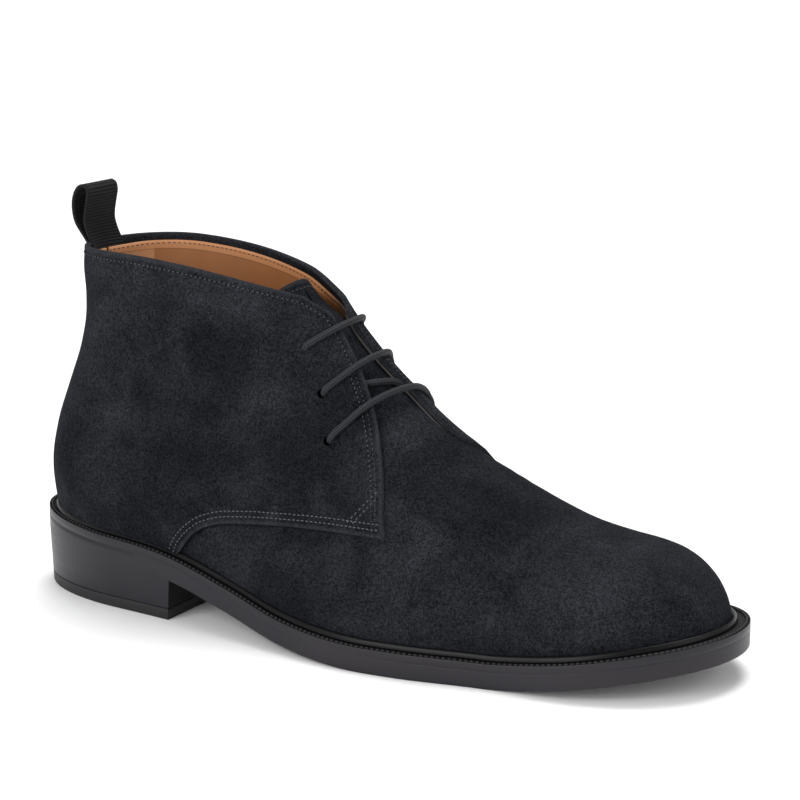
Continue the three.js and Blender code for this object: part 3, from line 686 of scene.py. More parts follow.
edgeLook = {"dark": (0.0058, 0.0061, 0.0088), "pale": (0.0132, 0.0136, 0.0182), "gloss": 0.32,
            "shine": 0.28}
finishes = {
    "suede": suedeFinish("suede"),
    "suedePanel": suedeFinish("suedePanel", edges=True),
    "lining": liningFinish(),
    "sock": sockFinish(),
    "soleEdge": edgeFinish("burnishedEdge", **edgeLook),
    "heelEdge": edgeFinish("stackedHeel", **edgeLook, layers=(10.2, 15.6)),
    "lift": plainFinish("topLiftRubber", (0.0055, 0.0058, 0.0068), 0.5, 700.0, 0.25,
                        **{"Specular IOR Level": 0.35}),
    "breast": plainFinish("heelBreast", (0.003, 0.003, 0.0036), 0.6, 400.0, 0.3,
                          **{"Specular IOR Level": 0.2}),
    "tread": plainFinish("treadRubber", (0.012, 0.012, 0.013), 0.6, 600.0, 0.35),
    "rand": plainFinish("randLeather", (0.0020, 0.0020, 0.0026), 0.28, 500.0, 0.1,
                        **{"Specular IOR Level": 0.16}),
    "weltTop": plainFinish("weltLeather", (0.0035, 0.0035, 0.0042), 0.6, 500.0, 0.3,
                           **{"Specular IOR Level": 0.15}),
    "weltThread": threadFinish("weltThread", (0.008, 0.008, 0.009), (0.032, 0.031, 0.033)),
    "paleThread": threadFinish("paleThread", (0.045, 0.047, 0.052), (0.125, 0.13, 0.14)),
    "darkThread": threadFinish("darkThread", (0.020, 0.021, 0.025), (0.07, 0.073, 0.08)),
    # painted shade: a near-black finish for the stitch holes and the discs behind the eyelets
    "paintedHoleShade": plainFinish("paintedHoleShade", (0.0006, 0.0006, 0.0008), 0.9, 900.0, 0.1,
                              **{"Specular IOR Level": 0.0}),
    "tanThread": threadFinish("tanThread", (0.035, 0.02, 0.012), (0.12, 0.06, 0.03)),
    "lace": laceFinish(),
    "webbing": webbingFinish(),
}


# gives a piece its finish and body, and hides the nodes that it stands for
def dress(obj, finish, slot, *nodes):
    if not obj.data.materials:
        obj.data.materials.append(finishes[finish])
    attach(obj, "root")
    if nodes:
        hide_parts(*nodes)
    return obj


# a second finish for the faces that test picks, by number or by direction
def paint(obj, finish, test):
    obj.data.materials.append(finishes[finish])
    for polygon in obj.data.polygons:
        if test(polygon):
            polygon.material_index = len(obj.data.materials) - 1


print("finishes ready")

# ---- vamp and tongue, one sheet from the toe to the tongue's top
vamp = {"rows": 240, "cols": 100, "last": 1.085, "wall": 1.9, "narrow": (0.69, 0.76), "lean": 9.5,
        "halfLow": 27.0, "halfTop": 14.5, "deep": 1.95, "covered": 0.503, "creaseWidth": 0.013,
        "corner": {-1: 0.125, 1: 0.12}, "swell": 0.32, "swellSize": 26.0, "sockFrom": 0.62,
        "sockTo": 0.84}
# soft flex marks over the ball: rib, degrees, length along the rib in degrees, depth
creases = [(0.395, 118, 60, 0.16), (0.43, 140, 45, 0.12), (0.47, 95, 40, 0.14), (0.35, 90, 40, 0.1)]


# how far the sheet lies under the form where the quarters cover it and in the open throat
def vampDepth(at, angle, side):
    throat = sole["throatRib"]
    facing = ribFacing[side](np.maximum(at, throat))
    seam = seamAngle(np.maximum(at[:, 0], throat), side)[:, None]
    covered = ease(0.02, 0.2, angle - seam) * ease(vamp["covered"], 0.55, at)
    covered = covered * ease(-0.05, 0.12, facing - angle)
    depth = vamp["deep"] * np.maximum(ease(0.52, 0.63, at), covered) * ease(throat, 0.52, at)
    return depth * np.where(at > vamp["covered"], ease(-0.02, 0.06, angle - seam), 1)


# each flex mark is a soft trough with a low ridge behind it
def creaseDepth(at, angle, side):
    depth = 0
    for rib, degrees, length, deep in creases:
        trough = np.exp(-((at - rib) / vamp["creaseWidth"]) ** 2)
        ridge = np.exp(-((at - rib - 2 * vamp["creaseWidth"]) / 0.016) ** 2)
        along = np.exp(-((np.degrees(angle) - degrees) / length) ** 2)
        if side < 0 or degrees > 110:
            depth = depth + deep * (trough - 0.6 * ridge) * along
    return depth


def vampSheets():
    rib = vamp["last"] * np.linspace(0, 1, vamp["rows"]) ** 1.1
    u = np.linspace(0, 1, vamp["cols"])
    halves = {0: [], 1: []}
    for side in (-1, 1):
        at = np.repeat(rib[:, None], len(u), 1)
        want = vamp["halfLow"] + (vamp["halfTop"] - vamp["halfLow"]) * ease(0.7, vamp["last"], rib)
        edge = angleWhere(rib, side, lambda p: np.abs(p[..., 1] - ridgeY(p[..., 0]))
                          - want.reshape([-1] + [1] * (p.ndim - 2)))
        edge = edge[:, None] * ease(*vamp["narrow"], at)
        angle = edge + (pi - edge) * u[None, :]
        # rounded top corners
        off = 1 - u[None, :]
        bend = 0.55 * off ** 2 + 0.45 * (1 - np.sqrt(np.maximum(0, 1 - off ** 2)))
        at = at - vamp["corner"][side] * ease(0.8, vamp["last"], at) * bend
        offset = -vampDepth(at, angle, side) - creaseDepth(at, angle, side)
        swell = vamp["swell"] * softNoise(formPoint(at, angle, side), vamp["swellSize"], 3)
        swell = swell * ease(0, 0.25, angle)
        for layer in (0, 1):
            depth = layer * vamp["wall"] * np.minimum(1, 0.15 + at / 0.03)
            p = offForm(at, angle, side, offset + swell - depth)
            p[..., 0] -= vamp["lean"] * ease(0.78, 1.06, at)
            halves[layer].append(p)
    for low, high in halves.values():
        ridge = (low[:, -1:] + high[:, -1:]) / 2
        yield np.concatenate([low[:, :-1], ridge, high[:, -2::-1]], axis=1)


sheet, sheetInside = vampSheets()
vampPiece, across, bends = shell("vampAndTongue", sheet, sheetInside, vamp["wall"] * 0.4)
topRows = vamp["rows"] // 3
edgeLine = np.concatenate([sheet[-topRows:, 0], sheet[-1], sheet[-topRows:, -1][::-1]])
setAttribute(vampPiece, "edge", np.minimum(20, distanceTo(
    triples(vampPiece.data.vertices, "co") * 1000 - shift, dense(edgeLine))))
dress(flipIfInward(vampPiece), "suedePanel", "suede", "upper", "tongue")


# faces inside the sheet, and on its edges where they lie under the quarters
def isInside(polygon):
    row, column = divmod(polygon.index, 2 * (across + bends))
    hidden = vamp["sockFrom"] < row / vamp["rows"] < vamp["sockTo"]
    return across + bends <= column < 2 * across + bends or (column >= across and hidden)


paint(vampPiece, "sock", isInside)
print("vamp and tongue", len(vampPiece.data.polygons))

# ---- quarters
quarter = {"rows": 230, "cols": 120, "outside": 1.7, "wall": 2.3, "backGap": 0.03, "bulge": 0.45,
           "backAngle": 0.03, "cutCorner": 0.034, "seamEnd": 84.9, "grooveDepth": 0.16,
           "grooves": {"seam": (2.5, 4.3), "facing": (2.3,), "collar": (2.7,)}, "dimple": 2.6}
# rib and degrees of each punched eyelet, from the top down
eyelets = {-1: [(0.798, 146.2), (0.696, 136.1), (0.642, 119.5)],
           1: [(0.792, 150.0), (0.690, 148.0), (0.604, 144.0)]}
eyeletRadius = 1.85


def holeSpots(side):
    return [offForm(at, math.radians(degrees), side, quarter["outside"])
            for at, degrees in eyelets[side]]


# lower edge from the throat corner along the seam, down to the welt and back to the heel
def lowerEdge(side):
    at = np.linspace(sole["throatRib"], 0.6, 60)
    facing = ribFacing[side](at)
    angle = np.minimum(seamAngle(at, side), facing - 0.02)
    line = list(zip(at, angle))
    start = formPoint(at[-1], angle[-1], side)[0]
    for x in np.linspace(start, quarter["seamEnd"], 70)[1:]:
        line.append(locate(x, float(seamHeight(x)), side, line[-1]))
    seamEnd = len(line)
    line += [(rib, 0) for rib in np.linspace(line[-1][0] + 0.002, 1.0, 160)]
    at, angle = np.array(line).T
    return at, np.maximum(angle, quarter["backAngle"]), seamEnd


# evenly spaced places along a line on the form
def alongEdge(at, angle, side, count):
    length = lengthAlong(formPoint(at, angle, side))
    where = np.linspace(0, length[-1], count)
    return np.interp(where, length, at), np.interp(where, length, angle)


# the inner collar falls away toward its facing
def cutCorner(at, angle, side):
    if side < 0:
        return at
    share = angle / ribFacing[side](at)
    return at - quarter["cutCorner"] * ease(0.88, 1, at) * ease(0.78, 1, share)


def quarterEdges(side, count=400):
    at, angle, seamEnd = lowerEdge(side)
    facingAt = np.linspace(sole["throatRib"], 1.0, count)
    facing = ribFacing[side](facingAt)
    top = np.linspace(quarter["backAngle"], facing[-1], count)
    return {"lower": alongEdge(at, angle, side, count),
            "seam": alongEdge(at[:seamEnd], angle[:seamEnd], side, count),
            "facing": (cutCorner(facingAt, facing, side), facing),
            "collar": (cutCorner(np.full(count, 1.0), top, side), top)}


# the far ends of the rows are spread out evenly where the lower edge runs along a rib
def spreadRows(at):
    reach = len(at) // 9
    padded = np.concatenate([2 * at[0] - at[reach:0:-1], at, 2 * at[-1] - at[-2:-reach - 2:-1]])
    window = np.hanning(2 * reach + 1)
    return np.convolve(padded, window / window.sum(), "valid")


def quarterPiece(side):
    edges = quarterEdges(side)
    lowAt, low = alongEdge(*edges["lower"], side, quarter["rows"])
    highAt = spreadRows(lowAt)
    v = np.linspace(0, 1, quarter["cols"])
    v = v - 0.03 * np.sin(4 * pi * v)
    mixed = ease(0, 0.8, v)
    at = lowAt[:, None] + (highAt - lowAt)[:, None] * mixed[None, :]
    angle = low[:, None] + (ribFacing[side](highAt) - low)[:, None] * v[None, :]
    at = cutCorner(at, angle, side)
    p = offForm(at, angle, side, quarter["outside"])
    away = {name: distanceTo(p, dense(offForm(*edges[name], side, quarter["outside"])))
            for name in quarter["grooves"]}
    groove = sum(np.exp(-((away[name] - row) / 0.45) ** 2)
                 for name, rows in quarter["grooves"].items() for row in rows)
    swell = 0.30 * softNoise(p, 30.0, 7) + 0.14 * softNoise(p, 13.0, 9)
    normal = formNormal(at, angle, side)
    dimple = sum(np.exp(-(np.linalg.norm(p - spot, axis=-1) / quarter["dimple"]) ** 2)
                 for spot in holeSpots(side))
    inner = p + normal * (swell - quarter["wall"])[..., None]
    sunk = quarter["grooveDepth"] * np.minimum(groove, 1.2) + 0.35 * dimple
    p += normal * (swell - sunk)[..., None]

    def adjust(points):
        points[..., 2] = np.maximum(points[..., 2], featherHeight(points[..., 0]) + 0.6)
        points[..., 1] = side * np.maximum(side * points[..., 1], quarter["backGap"])
        return points

    obj, m, n = shell("quarterOuter" if side < 0 else "quarterInner", p, inner, quarter["bulge"],
                      (20, 40, 65), adjust, True)
    near = np.minimum.reduce(list(away.values()))
    near = np.concatenate([near, np.repeat(near[:, -1:], n, 1), near[:, ::-1],
                           np.repeat(near[:, :1], n, 1)], 1)
    near = np.concatenate([near[:1], near, np.zeros((4, near.shape[1]))], 0)
    setAttribute(obj, "edge", near)
    return flipIfInward(obj)


# round plugs across the wall at the eyelets, from low to high off the form
def eyeletPlugs(name, chosen, radius, low, high, sides):
    points, faces = [], []
    turn = np.arange(sides)[:, None] * 2 * pi / sides
    for side in chosen:
        for at, degrees in eyelets[side]:
            angle = math.radians(degrees)
            centre, normal = formPoint(at, angle, side), formNormal(at, angle, side)
            a = unit(np.cross(normal, (0, 0, 1.0)))
            ring = centre + radius * (np.cos(turn) * a + np.sin(turn) * np.cross(normal, a))
            start = len(points)
            points += [*(ring + low * normal), *(ring + high * normal)]
            under = [start + i for i in range(sides)]
            over = [i + sides for i in under]
            faces += [[under[i], under[i + 1 - sides], over[i + 1 - sides], over[i]]
                      for i in range(sides)]
            faces += [under[::-1], over]
    return flipIfInward(makeMesh(name, np.array(points), faces))


def punched(piece, side):
    cutter = eyeletPlugs("punch", (side,), eyeletRadius, -2.2, 4.0, 20)
    addModifier(piece, "BOOLEAN", operation="DIFFERENCE", solver="FAST", object=cutter)
    bake(piece)
    bpy.data.objects.remove(cutter)
    return piece


for side, node in ((-1, "quarter_outer"), (1, "quarter_inner")):
    piece = dress(punched(quarterPiece(side), side), "suedePanel", "suede", node)
    print(node, len(piece.data.polygons))

# painted shade: a dark disc between suede and lining behind each eyelet, so that the punched holes look dark
dress(eyeletPlugs("eyeletShadeDiscs", (-1, 1), 2.7, -0.72, -0.62, 16), "paintedHoleShade", "suede")

# dark stay that closes the seam between the quarters down the back: its section as (y, x) off the
# back; its top end is hidden under the collar and stays open
staySection = [(-1.5, 0.4), (-1.5, -0.4), (-0.6, -1.0), (0.6, -1.0), (1.5, -0.4), (1.5, 0.4)]


def heelStay():
    z = np.linspace(featherHeight(8.0) + 1.0, backHeight(1.0) - 2.5, 90)
    points = np.stack([np.stack([shaftBack(z) + x, np.full(len(z), y), z], 1)
                       for y, x in staySection], 0)
    return flipIfInward(grid("heelStay", capped(points.swapaxes(0, 1))[:-1], closeCols=True))


dress(heelStay(), "suede", "suede")

# ---- lining: stops short of the collar, where the suede is turned in
lining = {"rows": 170, "cols": 90, "outside": -0.75, "wall": 0.9, "edge": 2.6, "shrinkFrom": 0.8,
          "recess": {-1: 0.03, 1: 0.012}, "overLoop": 1.7}
panelMiddle = (0.78, 1.4)   # rib and angle well inside a quarter


# how far the lining stands forward where it passes over the loop's ends
def overLoop(at, angle, side):
    x, y, z = np.moveaxis(formPoint(at, angle, side), -1, 0)
    return lining["overLoop"] * ease(112, 128, z) * (1 - ease(10, 22, np.abs(y))) * (
        1 - ease(40, 60, x))


def liningPiece(side):
    edges = quarterEdges(side)
    collarAt, collarAngle = inset(*edges["collar"], side, lining["edge"],
                                  formPoint(*panelMiddle, side))
    lowAt, low = alongEdge(*edges["lower"], side, lining["rows"])
    highAt = spreadRows(lowAt)
    v = np.linspace(0, 1, lining["cols"])
    at = lowAt[:, None] + (highAt - lowAt)[:, None] * ease(0, 0.8, v)[None, :]
    start = low + 0.1 * ease(0.03, 0.2, low)
    high = ribFacing[side](highAt) - lining["recess"][side]
    angle = start[:, None] + (high - start)[:, None] * v[None, :]
    # rows end along a line a little below the collar
    limit = np.interp(angle, collarAngle, collarAt)
    first = lining["shrinkFrom"]
    at = np.where(at > first, first + (at - first) / (1 - first) * (limit - first), at)
    # held back from the throat corner and from the seam's rear end
    at = at + 0.016 * (1 - ease(sole["throatRib"], 0.57, at))
    at = at + 0.011 * (1 - ease(0.4, 1.2, angle)) * ease(0.58, 0.64, at) * (1 - ease(0.72, 0.78, at))
    p = offForm(at, angle, side, lining["outside"] - overLoop(at, angle, side))
    p[..., 1] = side * np.maximum(side * p[..., 1], 0.0)
    obj = faceAlong(grid("lining" + ("Outer" if side < 0 else "Inner"), p),
                    formNormal(at, angle, side))
    toCollar, toFacing = (distanceTo(p, dense(offForm(*edges[name], side, -0.6)))
                          for name in ("collar", "facing"))
    setAttribute(obj, "edge", np.minimum(toCollar, toFacing + lining["edge"]))
    setAttribute(obj, "cut", toFacing)
    return punched(thicken(obj, lining["wall"]), side)


for side in (-1, 1):
    piece = dress(liningPiece(side), "lining", "suede")
    print(piece.name, len(piece.data.polygons))

# ---- insole sock: its edge turns up a little against the lining
sock = {"rows": 110, "cols": 40, "start": 8.6, "toeGap": 3.6, "sideGap": 3.4, "heelRadius": 50,
        "toeRadius": 58, "height": 3.5, "turnUp": 1.6, "wall": 3.0}


def sockPiece():
    start, end = sock["start"], sole["toeX"] - sock["toeGap"]
    share = (1 - np.cos(pi * np.linspace(0, 1, sock["rows"]))) / 2
    across = -np.cos(pi * np.linspace(0, 1, sock["cols"]))[None, :]
    x = np.repeat((start + (end - start) * share)[:, None], sock["cols"], 1)
    rise = roundRise(x - start, sock["heelRadius"])
    half = (soleHalf(x) - weltShow(x) - sock["sideGap"]) * rise * roundRise(end - x, sock["toeRadius"])
    z = featherHeight(x) + sock["height"] + sock["turnUp"] * np.abs(across) ** 3
    points = np.stack([x, soleCentre(x) * rise + half * across, z], -1)
    return thicken(grid("insoleSock", points), sock["wall"])


dress(sockPiece(), "sock", "insole", "insole")
print("insole sock")

# ---- sole: outsole, welt with its rand, heel and top lift
ringCount = 520   # points round the outsole, the welt and the rand
# the outsole's section as (inset, height); the groove is the stitch channel in its underside
thick = sole["outsole"]
outsoleSection = {
    "under": [(inset, 0.0) for inset in (46, 38, 30, 22, 14, 8, 5.2)],
    "groove": [(4.9, 0.35), (4.1, 0.35), (3.8, 0.0)],
    "rim": [(0.4, 0.0), (0.15, 0.08), (0.03, 0.25), (0.0, 0.6), (0.0, thick * 0.5), (0.0, thick),
            (0.0, thick + 0.27), (0.03, thick + 0.3)],
    "top": [(inset, thick + 0.3) for inset in (6, 16, 30, 46)],
}


def outsolePiece():
    turn = np.arange(ringCount) / ringCount
    rings = [loopLine(turn, *place) for part in outsoleSection.values() for place in part]
    return flipIfInward(grid("outsoleLayer", np.stack(rings, 0), closeCols=True))


piece = dress(outsolePiece(), "soleEdge", "outsole", "outsole")
paint(piece, "tread", lambda polygon: polygon.normal.z < -0.6)


# the welt's section follows how far it shows beyond the upper, so its insets vary along the
# sole; share is 0 at the sole's outline and 1 at the upper's
def weltLoop(share, extra, height):
    turn = np.arange(ringCount) / ringCount
    along = (1 - np.cos(turn * 2 * pi)) / 2
    low = share * welt["heelShow"] + extra
    high = sole["length"] - share * (sole["length"] - sole["toeX"]) - extra
    x = low + (high - low) * along
    half = soleHalf(x) - share * weltShow(sole["length"] * along) - extra
    rise = roundRise(x - low, sole["heelRadius"] + share * (form["backRadius"] - sole["heelRadius"]))
    toe = roundRise(high - x, sole["toeRadius"] - share * form["toeInset"])
    y = (soleCentre(x) + np.where(turn < 0.5, -1.0, 1.0) * half * toe) * rise
    return np.stack([x, y, underside(x) + height], -1)


def loops(name, profile):
    return flipIfInward(grid(name, np.stack([weltLoop(*row) for row in profile], 0),
                             closeRows=True, closeCols=True))


# the welt's outer edge and top as (inset, height over its top), and the rand's section the same way
# from the upper's outline: the rand is a strip of polished leather that stands round the upper's foot
base = sole["outsole"] + sole["gap"]
top = base + sole["welt"]
welt = {"heelShow": 5.6, "inside": 2.5, "firstTopRow": 4, "lastTopRow": 12,
        "top": [(0.0, -0.45), (0.05, -0.2), (0.2, -0.06), (0.38, -0.1), (0.55, -0.28), (0.75, -0.45),
                (1.4, -0.5), (2.2, -0.45), (3.0, -0.3), (3.4, -0.25)],
        "rand": [(-1.95, -0.4), (-1.9, 0.3), (-1.78, 0.9), (-1.58, 1.5), (-1.32, 1.95),
                 (-1.02, 2.15), (-0.7, 2.1), (-0.35, 1.8), (0.6, 1.4), (2.0, 1.2), (2.0, -0.4)]}
weltProfile = [(0, 0.03, base), (0, 0.0, base + 0.03), (0, 0.0, base + 1.6)]
weltProfile += [(0, inset, top + height) for inset, height in welt["top"]]
weltProfile += [(1, welt["inside"], top - 0.4), (1, welt["inside"], base)]
piece = dress(loops("weltStrip", weltProfile), "soleEdge", "welt", "welt")
paint(piece, "weltTop", lambda polygon: welt["firstTopRow"] <= polygon.index // ringCount
      <= welt["lastTopRow"])
dress(loops("rand", [(1, inset, top + height) for inset, height in welt["rand"]]), "rand", "welt")

# heel: rings of the seat's outline, squared off at the breast
heel = {"samples": 150, "breastSamples": 24, "overlap": 0.03, "lean": 2.0, "dive": 0.3,
        "diveLength": 22, "lift": sole["lift"], "gap": 0.12, "seat": (6.5, 16.1, 1.2),
        "full": float(underside(0))}


# dive sinks the wall's front end gently into the sole's side
def heelOutline(inset, length, dive):
    low = max(inset, -heel["overlap"])
    x = length - (length - low) * np.sin(pi * np.linspace(0, 1, heel["samples"]))
    near = [length, length - 0.15]
    x = np.concatenate([near, x[1:-1], near[::-1]])
    side = np.where(np.arange(len(x)) < len(x) / 2, -1.0, 1.0)
    half = soleHalf(x) - inset - dive * ease(length - heel["diveLength"], length - 2, x)
    y = (soleCentre(x) + side * half) * roundRise(x - low, sole["heelRadius"])
    share = np.linspace(0, 1, heel["breastSamples"])
    share[[0, -1]] = 0.002, 0.998
    breast = y[-1] + (y[0] - y[-1]) * share
    return np.concatenate([x, np.full(len(breast), length)]), np.concatenate([y, breast])


# levels are (height, extra inset, rise over the sole's underside in place of the height)
def heelRings(name, levels):
    rings = []
    for level, extra, rise in levels:
        taper = 1 - min(level, heel["full"] - 0.2) / heel["full"]
        inset = sole["heelTaper"] * taper + extra - heel["overlap"]
        length = sole["heelBreast"] - heel["lean"] * taper - extra
        x, y = heelOutline(inset, length, 0.0 if rise is None else heel["dive"] * min(1, rise))
        z = np.minimum(level, underside(x) - 0.05) if rise is None else underside(x) + rise
        rings.append(np.stack([x, y, np.broadcast_to(z, x.shape)], -1))
    # the ends close in two steps: the bottom flat, the top along the sole
    steps = []
    for ring, height in ((rings[0], rings[0][0, 2]), (rings[-1], rings[-1][:, 2])):
        centre = ring.mean(0)
        shrunk = [centre + (ring - centre) * share for share in (0.02, 0.5)]
        for line in shrunk:
            line[:, 2] = height
        steps.append(shrunk)
    stack = np.stack([*steps[0], *rings, *steps[1][::-1]], 0)
    return flipIfInward(grid(name, stack, closeCols=True))


lift, gap = heel["lift"], heel["gap"]
liftLevels = [(0.0, 0.5), (0.12, 0.15), (0.5, 0.0), (2.4, 0.0), (lift - 0.3, 0.0),
              (lift - 0.05, 0.12), (lift, 0.35)]
dress(heelRings("topLift", [(*row, None) for row in liftLevels]), "lift", "top_lift", "top_lift")
seatLevels = [(lift + gap, 0.35, None), (lift + 0.2, 0.1, None), (lift + 0.5, 0.0, None)]
seatLevels += [(z, 0.0, None) for z in np.arange(*heel["seat"])]
seatLevels += [(heel["full"], 0.0, rise) for rise in (0.6, 2.2, 4.0, 5.9)]
seatLevels += [(heel["full"], 0.4, 6.2)]
piece = dress(heelRings("stackedHeel", seatLevels), "heelEdge", "heel", "heel")
paint(piece, "breast", lambda polygon: polygon.normal.x > 0.85)
print("sole")

# ---- laces: rib, degrees, side and height off the form at each point of a run
lace = {"radius": 1.28, "sides": 14, "samples": 150,
        "stands": {"laceTop": ["lace_top"], "laceMiddle": ["lace_middle"],
                   "laceBottom": ["lace_bottom"], "laceUnder": []}}
laceRuns = {
    "laceTop": [(0.796, 146.6, -1, -2.2), (0.797, 146.8, -1, 0.6), (0.798, 148.0, -1, 2.5),
                (0.801, 153, -1, 3.05), (0.808, 168, -1, 3.0), (0.813, 177, 1, 2.95),
                (0.819, 167, 1, 3.0), (0.8195, 156.5, 1, 3.0), (0.812, 151.5, 1, 2.9),
                (0.800, 150.2, 1, 2.2), (0.7925, 150, 1, 0.4), (0.792, 150, 1, -2.2)],
    "laceMiddle": [(0.694, 136.6, -1, -2.2), (0.695, 136.9, -1, 0.6), (0.6958, 138.3, -1, 2.5),
                   (0.6965, 145, -1, 3.05), (0.699, 163, -1, 2.8), (0.700, 176, 1, 2.6),
                   (0.7015, 166, 1, 2.7), (0.7025, 153.5, 1, 2.9), (0.699, 148.0, 1, 2.8),
                   (0.693, 147.3, 1, 2.0), (0.6895, 147.2, 1, 0.4), (0.689, 147, 1, -2.2)],
    "laceBottom": [(0.6405, 120.0, -1, -2.2), (0.641, 120.3, -1, 0.6), (0.6412, 122.0, -1, 2.5),
                   (0.640, 130, -1, 3.05), (0.637, 149, -1, 3.0), (0.629, 168, -1, 2.9),
                   (0.624, 173, 1, 2.9), (0.6215, 161, 1, 3.0), (0.618, 149.5, 1, 3.0),
                   (0.611, 144.5, 1, 2.4), (0.6045, 144, 1, 0.5), (0.604, 144, 1, -2.2)],
    "laceUnder": [(0.690, 139.0, -1, -2.0), (0.683, 147, -1, -1.5), (0.672, 157, -1, -0.7),
                  (0.660, 168, -1, -0.55), (0.648, 178, 1, -0.55), (0.636, 170, 1, -0.7),
                  (0.622, 160, 1, -1.5), (0.612, 150, 1, -2.2)],
}


# round closed tube along a line, its rings turned as little as possible from one to the next
def tube(name, line, radius, sides):
    tangent = unit(np.gradient(line, axis=0))
    normal = np.cross(tangent[0], (0.3, 1.0, 0.1))
    turn = np.arange(sides)[:, None] * 2 * pi / sides
    rings = []
    for place, forward in zip(line, tangent):
        normal = unit(normal - forward * (normal @ forward))
        other = np.cross(forward, normal)
        rings.append(place + radius * (np.cos(turn) * normal + np.sin(turn) * other))
    length = np.pad(lengthAlong(line), 1, "edge")
    around = np.linspace(0, 2 * pi * radius, sides + 1)
    return flipIfInward(grid(name, capped(np.stack(rings, 0)), closeCols=True, u=length, v=around))


for name, run in laceRuns.items():
    control = [offForm(at, math.radians(degrees), side, height) for at, degrees, side, height in run]
    piece = tube(name, smoothLine(control, lace["samples"]), lace["radius"], lace["sides"])
    dress(piece, "lace", "lace", *lace["stands"][name])
print("laces")

# ---- pull loop: folded webbing, its two ends sewn in behind the lining
loop = {"width": 20.0, "wall": 1.3, "rib": 1.27, "ribHeight": 0.22, "curve": 27.0,
        "hug": (141, 151), "samples": 560, "flat": 0.975}
loopPath = [(26.9, 126), (26.7, 134), (25.6, 139.5), (24.2, 143.6), (23.5, 148), (23.7, 153),
            (24.7, 158), (25.3, 161.5), (24.7, 163.8), (23.0, 164.6), (20.9, 163.9), (19.2, 161.8),
            (18.1, 158.6), (17.9, 155.2), (18.5, 151.4), (19.8, 147.8), (21.6, 144.4), (23.5, 141),
            (25.0, 137.4), (25.5, 134), (25.5, 126)]


def loopPiece():
    path = smoothLine(loopPath, loop["samples"])
    tangent = unit(np.gradient(path, axis=0))
    outward = np.stack([tangent[:, 1], -tangent[:, 0]], -1)
    wave = 0.5 + 0.5 * np.cos(2 * pi * lengthAlong(path) / loop["rib"])
    half, wall = loop["width"] / 2, loop["wall"] / 2
    # once round the section as (across, out, ribbed): outer face, edge, inner face, edge
    flat, turn = loop["flat"], np.linspace(0, pi, 7)[1:-1]
    face = [(half * flat * share, 1.0, 1.0) for share in np.linspace(-1, 1, 25)]
    edge = [(half * (flat + (1 - flat) * math.sin(a)), math.cos(a), 0.3) for a in turn]
    section = face + edge + [(-y, -out, ribbed) for y, out, ribbed in face + edge]
    columns, ribs = [], []
    for y, across, ribbed in section:
        ribHere = ribbed * (1 - ease(half * 0.9, half * 0.97, abs(y)))
        offset = across * (wall - loop["ribHeight"] * (1 - wave) * ribHere)
        q = path + outward * offset[:, None]
        hug = 1 - ease(*loop["hug"], q[:, 1])
        x = q[:, 0] + hug * y * y / (2 * loop["curve"])
        columns.append(np.stack([x, np.full(len(x), y), q[:, 1]], -1))
        # the rib value also sets the painted shade: dark in the troughs, pale on the crests
        ribs.append(wave * ribHere + 0.35 * (1 - ribHere))
    obj = grid("pullLoop", capped(np.stack(columns, 1)), closeCols=True)
    setAttribute(obj, "rib", np.pad(np.stack(ribs, 1), ((1, 1), (0, 0)), "edge"))
    return flipIfInward(obj)


dress(loopPiece(), "webbing", "webbing", "pull_loop")
print("pull loop")


# ---- stitches: a node tree sets one short thread along each row
def stitchTree():
    tree = bpy.data.node_groups.new("stitchRow", "GeometryNodeTree")
    sockets = [("Geometry", "NodeSocketGeometry"), ("Pitch", "NodeSocketFloat"),
               ("Length", "NodeSocketFloat"), ("Thickness", "NodeSocketFloat"),
               ("Thread", "NodeSocketMaterial")]
    for name, kind in sockets:
        tree.interface.new_socket(name, in_out="INPUT", socket_type=kind)
    tree.interface.new_socket("Geometry", in_out="OUTPUT", socket_type="NodeSocketGeometry")

    def make(kind, settings=None, inputs=None):
        node = tree.nodes.new(kind)
        for key, value in (settings or {}).items():
            setattr(node, key, value)
        for key, value in (inputs or {}).items():
            if isinstance(value, bpy.types.NodeSocket):
                tree.links.new(value, node.inputs[key])
            else:
                node.inputs[key].default_value = value
        return node

    source = make("NodeGroupInput").outputs
    curve = make("GeometryNodeMeshToCurve", None, {"Mesh": source["Geometry"]})
    rows = make("GeometryNodeResampleCurve", {"mode": "LENGTH"},
                {"Curve": curve.outputs["Curve"], "Length": source["Pitch"]})
    tangent = make("GeometryNodeInputTangent")
    up = make("GeometryNodeInputNamedAttribute", {"data_type": "FLOAT_VECTOR"}, {"Name": "up"})
    turn = make("FunctionNodeAxesToRotation", {"primary_axis": "Z", "secondary_axis": "X"},
                {0: up.outputs[0], 1: tangent.outputs[0]})
    ball = make("GeometryNodeMeshUVSphere", None, {"Segments": 7, "Rings": 5, "Radius": 0.5})
    size = make("ShaderNodeCombineXYZ", None,
                {0: source["Length"], 1: source["Thickness"], 2: source["Thickness"]})
    shaped = make("GeometryNodeTransform", None, {0: ball.outputs["Mesh"], 3: size.outputs[0]})
    placed = make("GeometryNodeInstanceOnPoints", None,
                  {"Points": rows.outputs["Curve"], "Instance": shaped.outputs[0],
                   "Rotation": turn.outputs[0]})
    real = make("GeometryNodeRealizeInstances", None, {0: placed.outputs[0]})
    smooth = make("GeometryNodeSetShadeSmooth", None, {0: real.outputs[0]})
    painted = make("GeometryNodeSetMaterial", None,
                   {"Geometry": smooth.outputs[0], "Material": source["Thread"]})
    end = make("NodeGroupOutput")
    tree.links.new(painted.outputs[0], end.inputs[0])
    return tree


stitches = stitchTree()


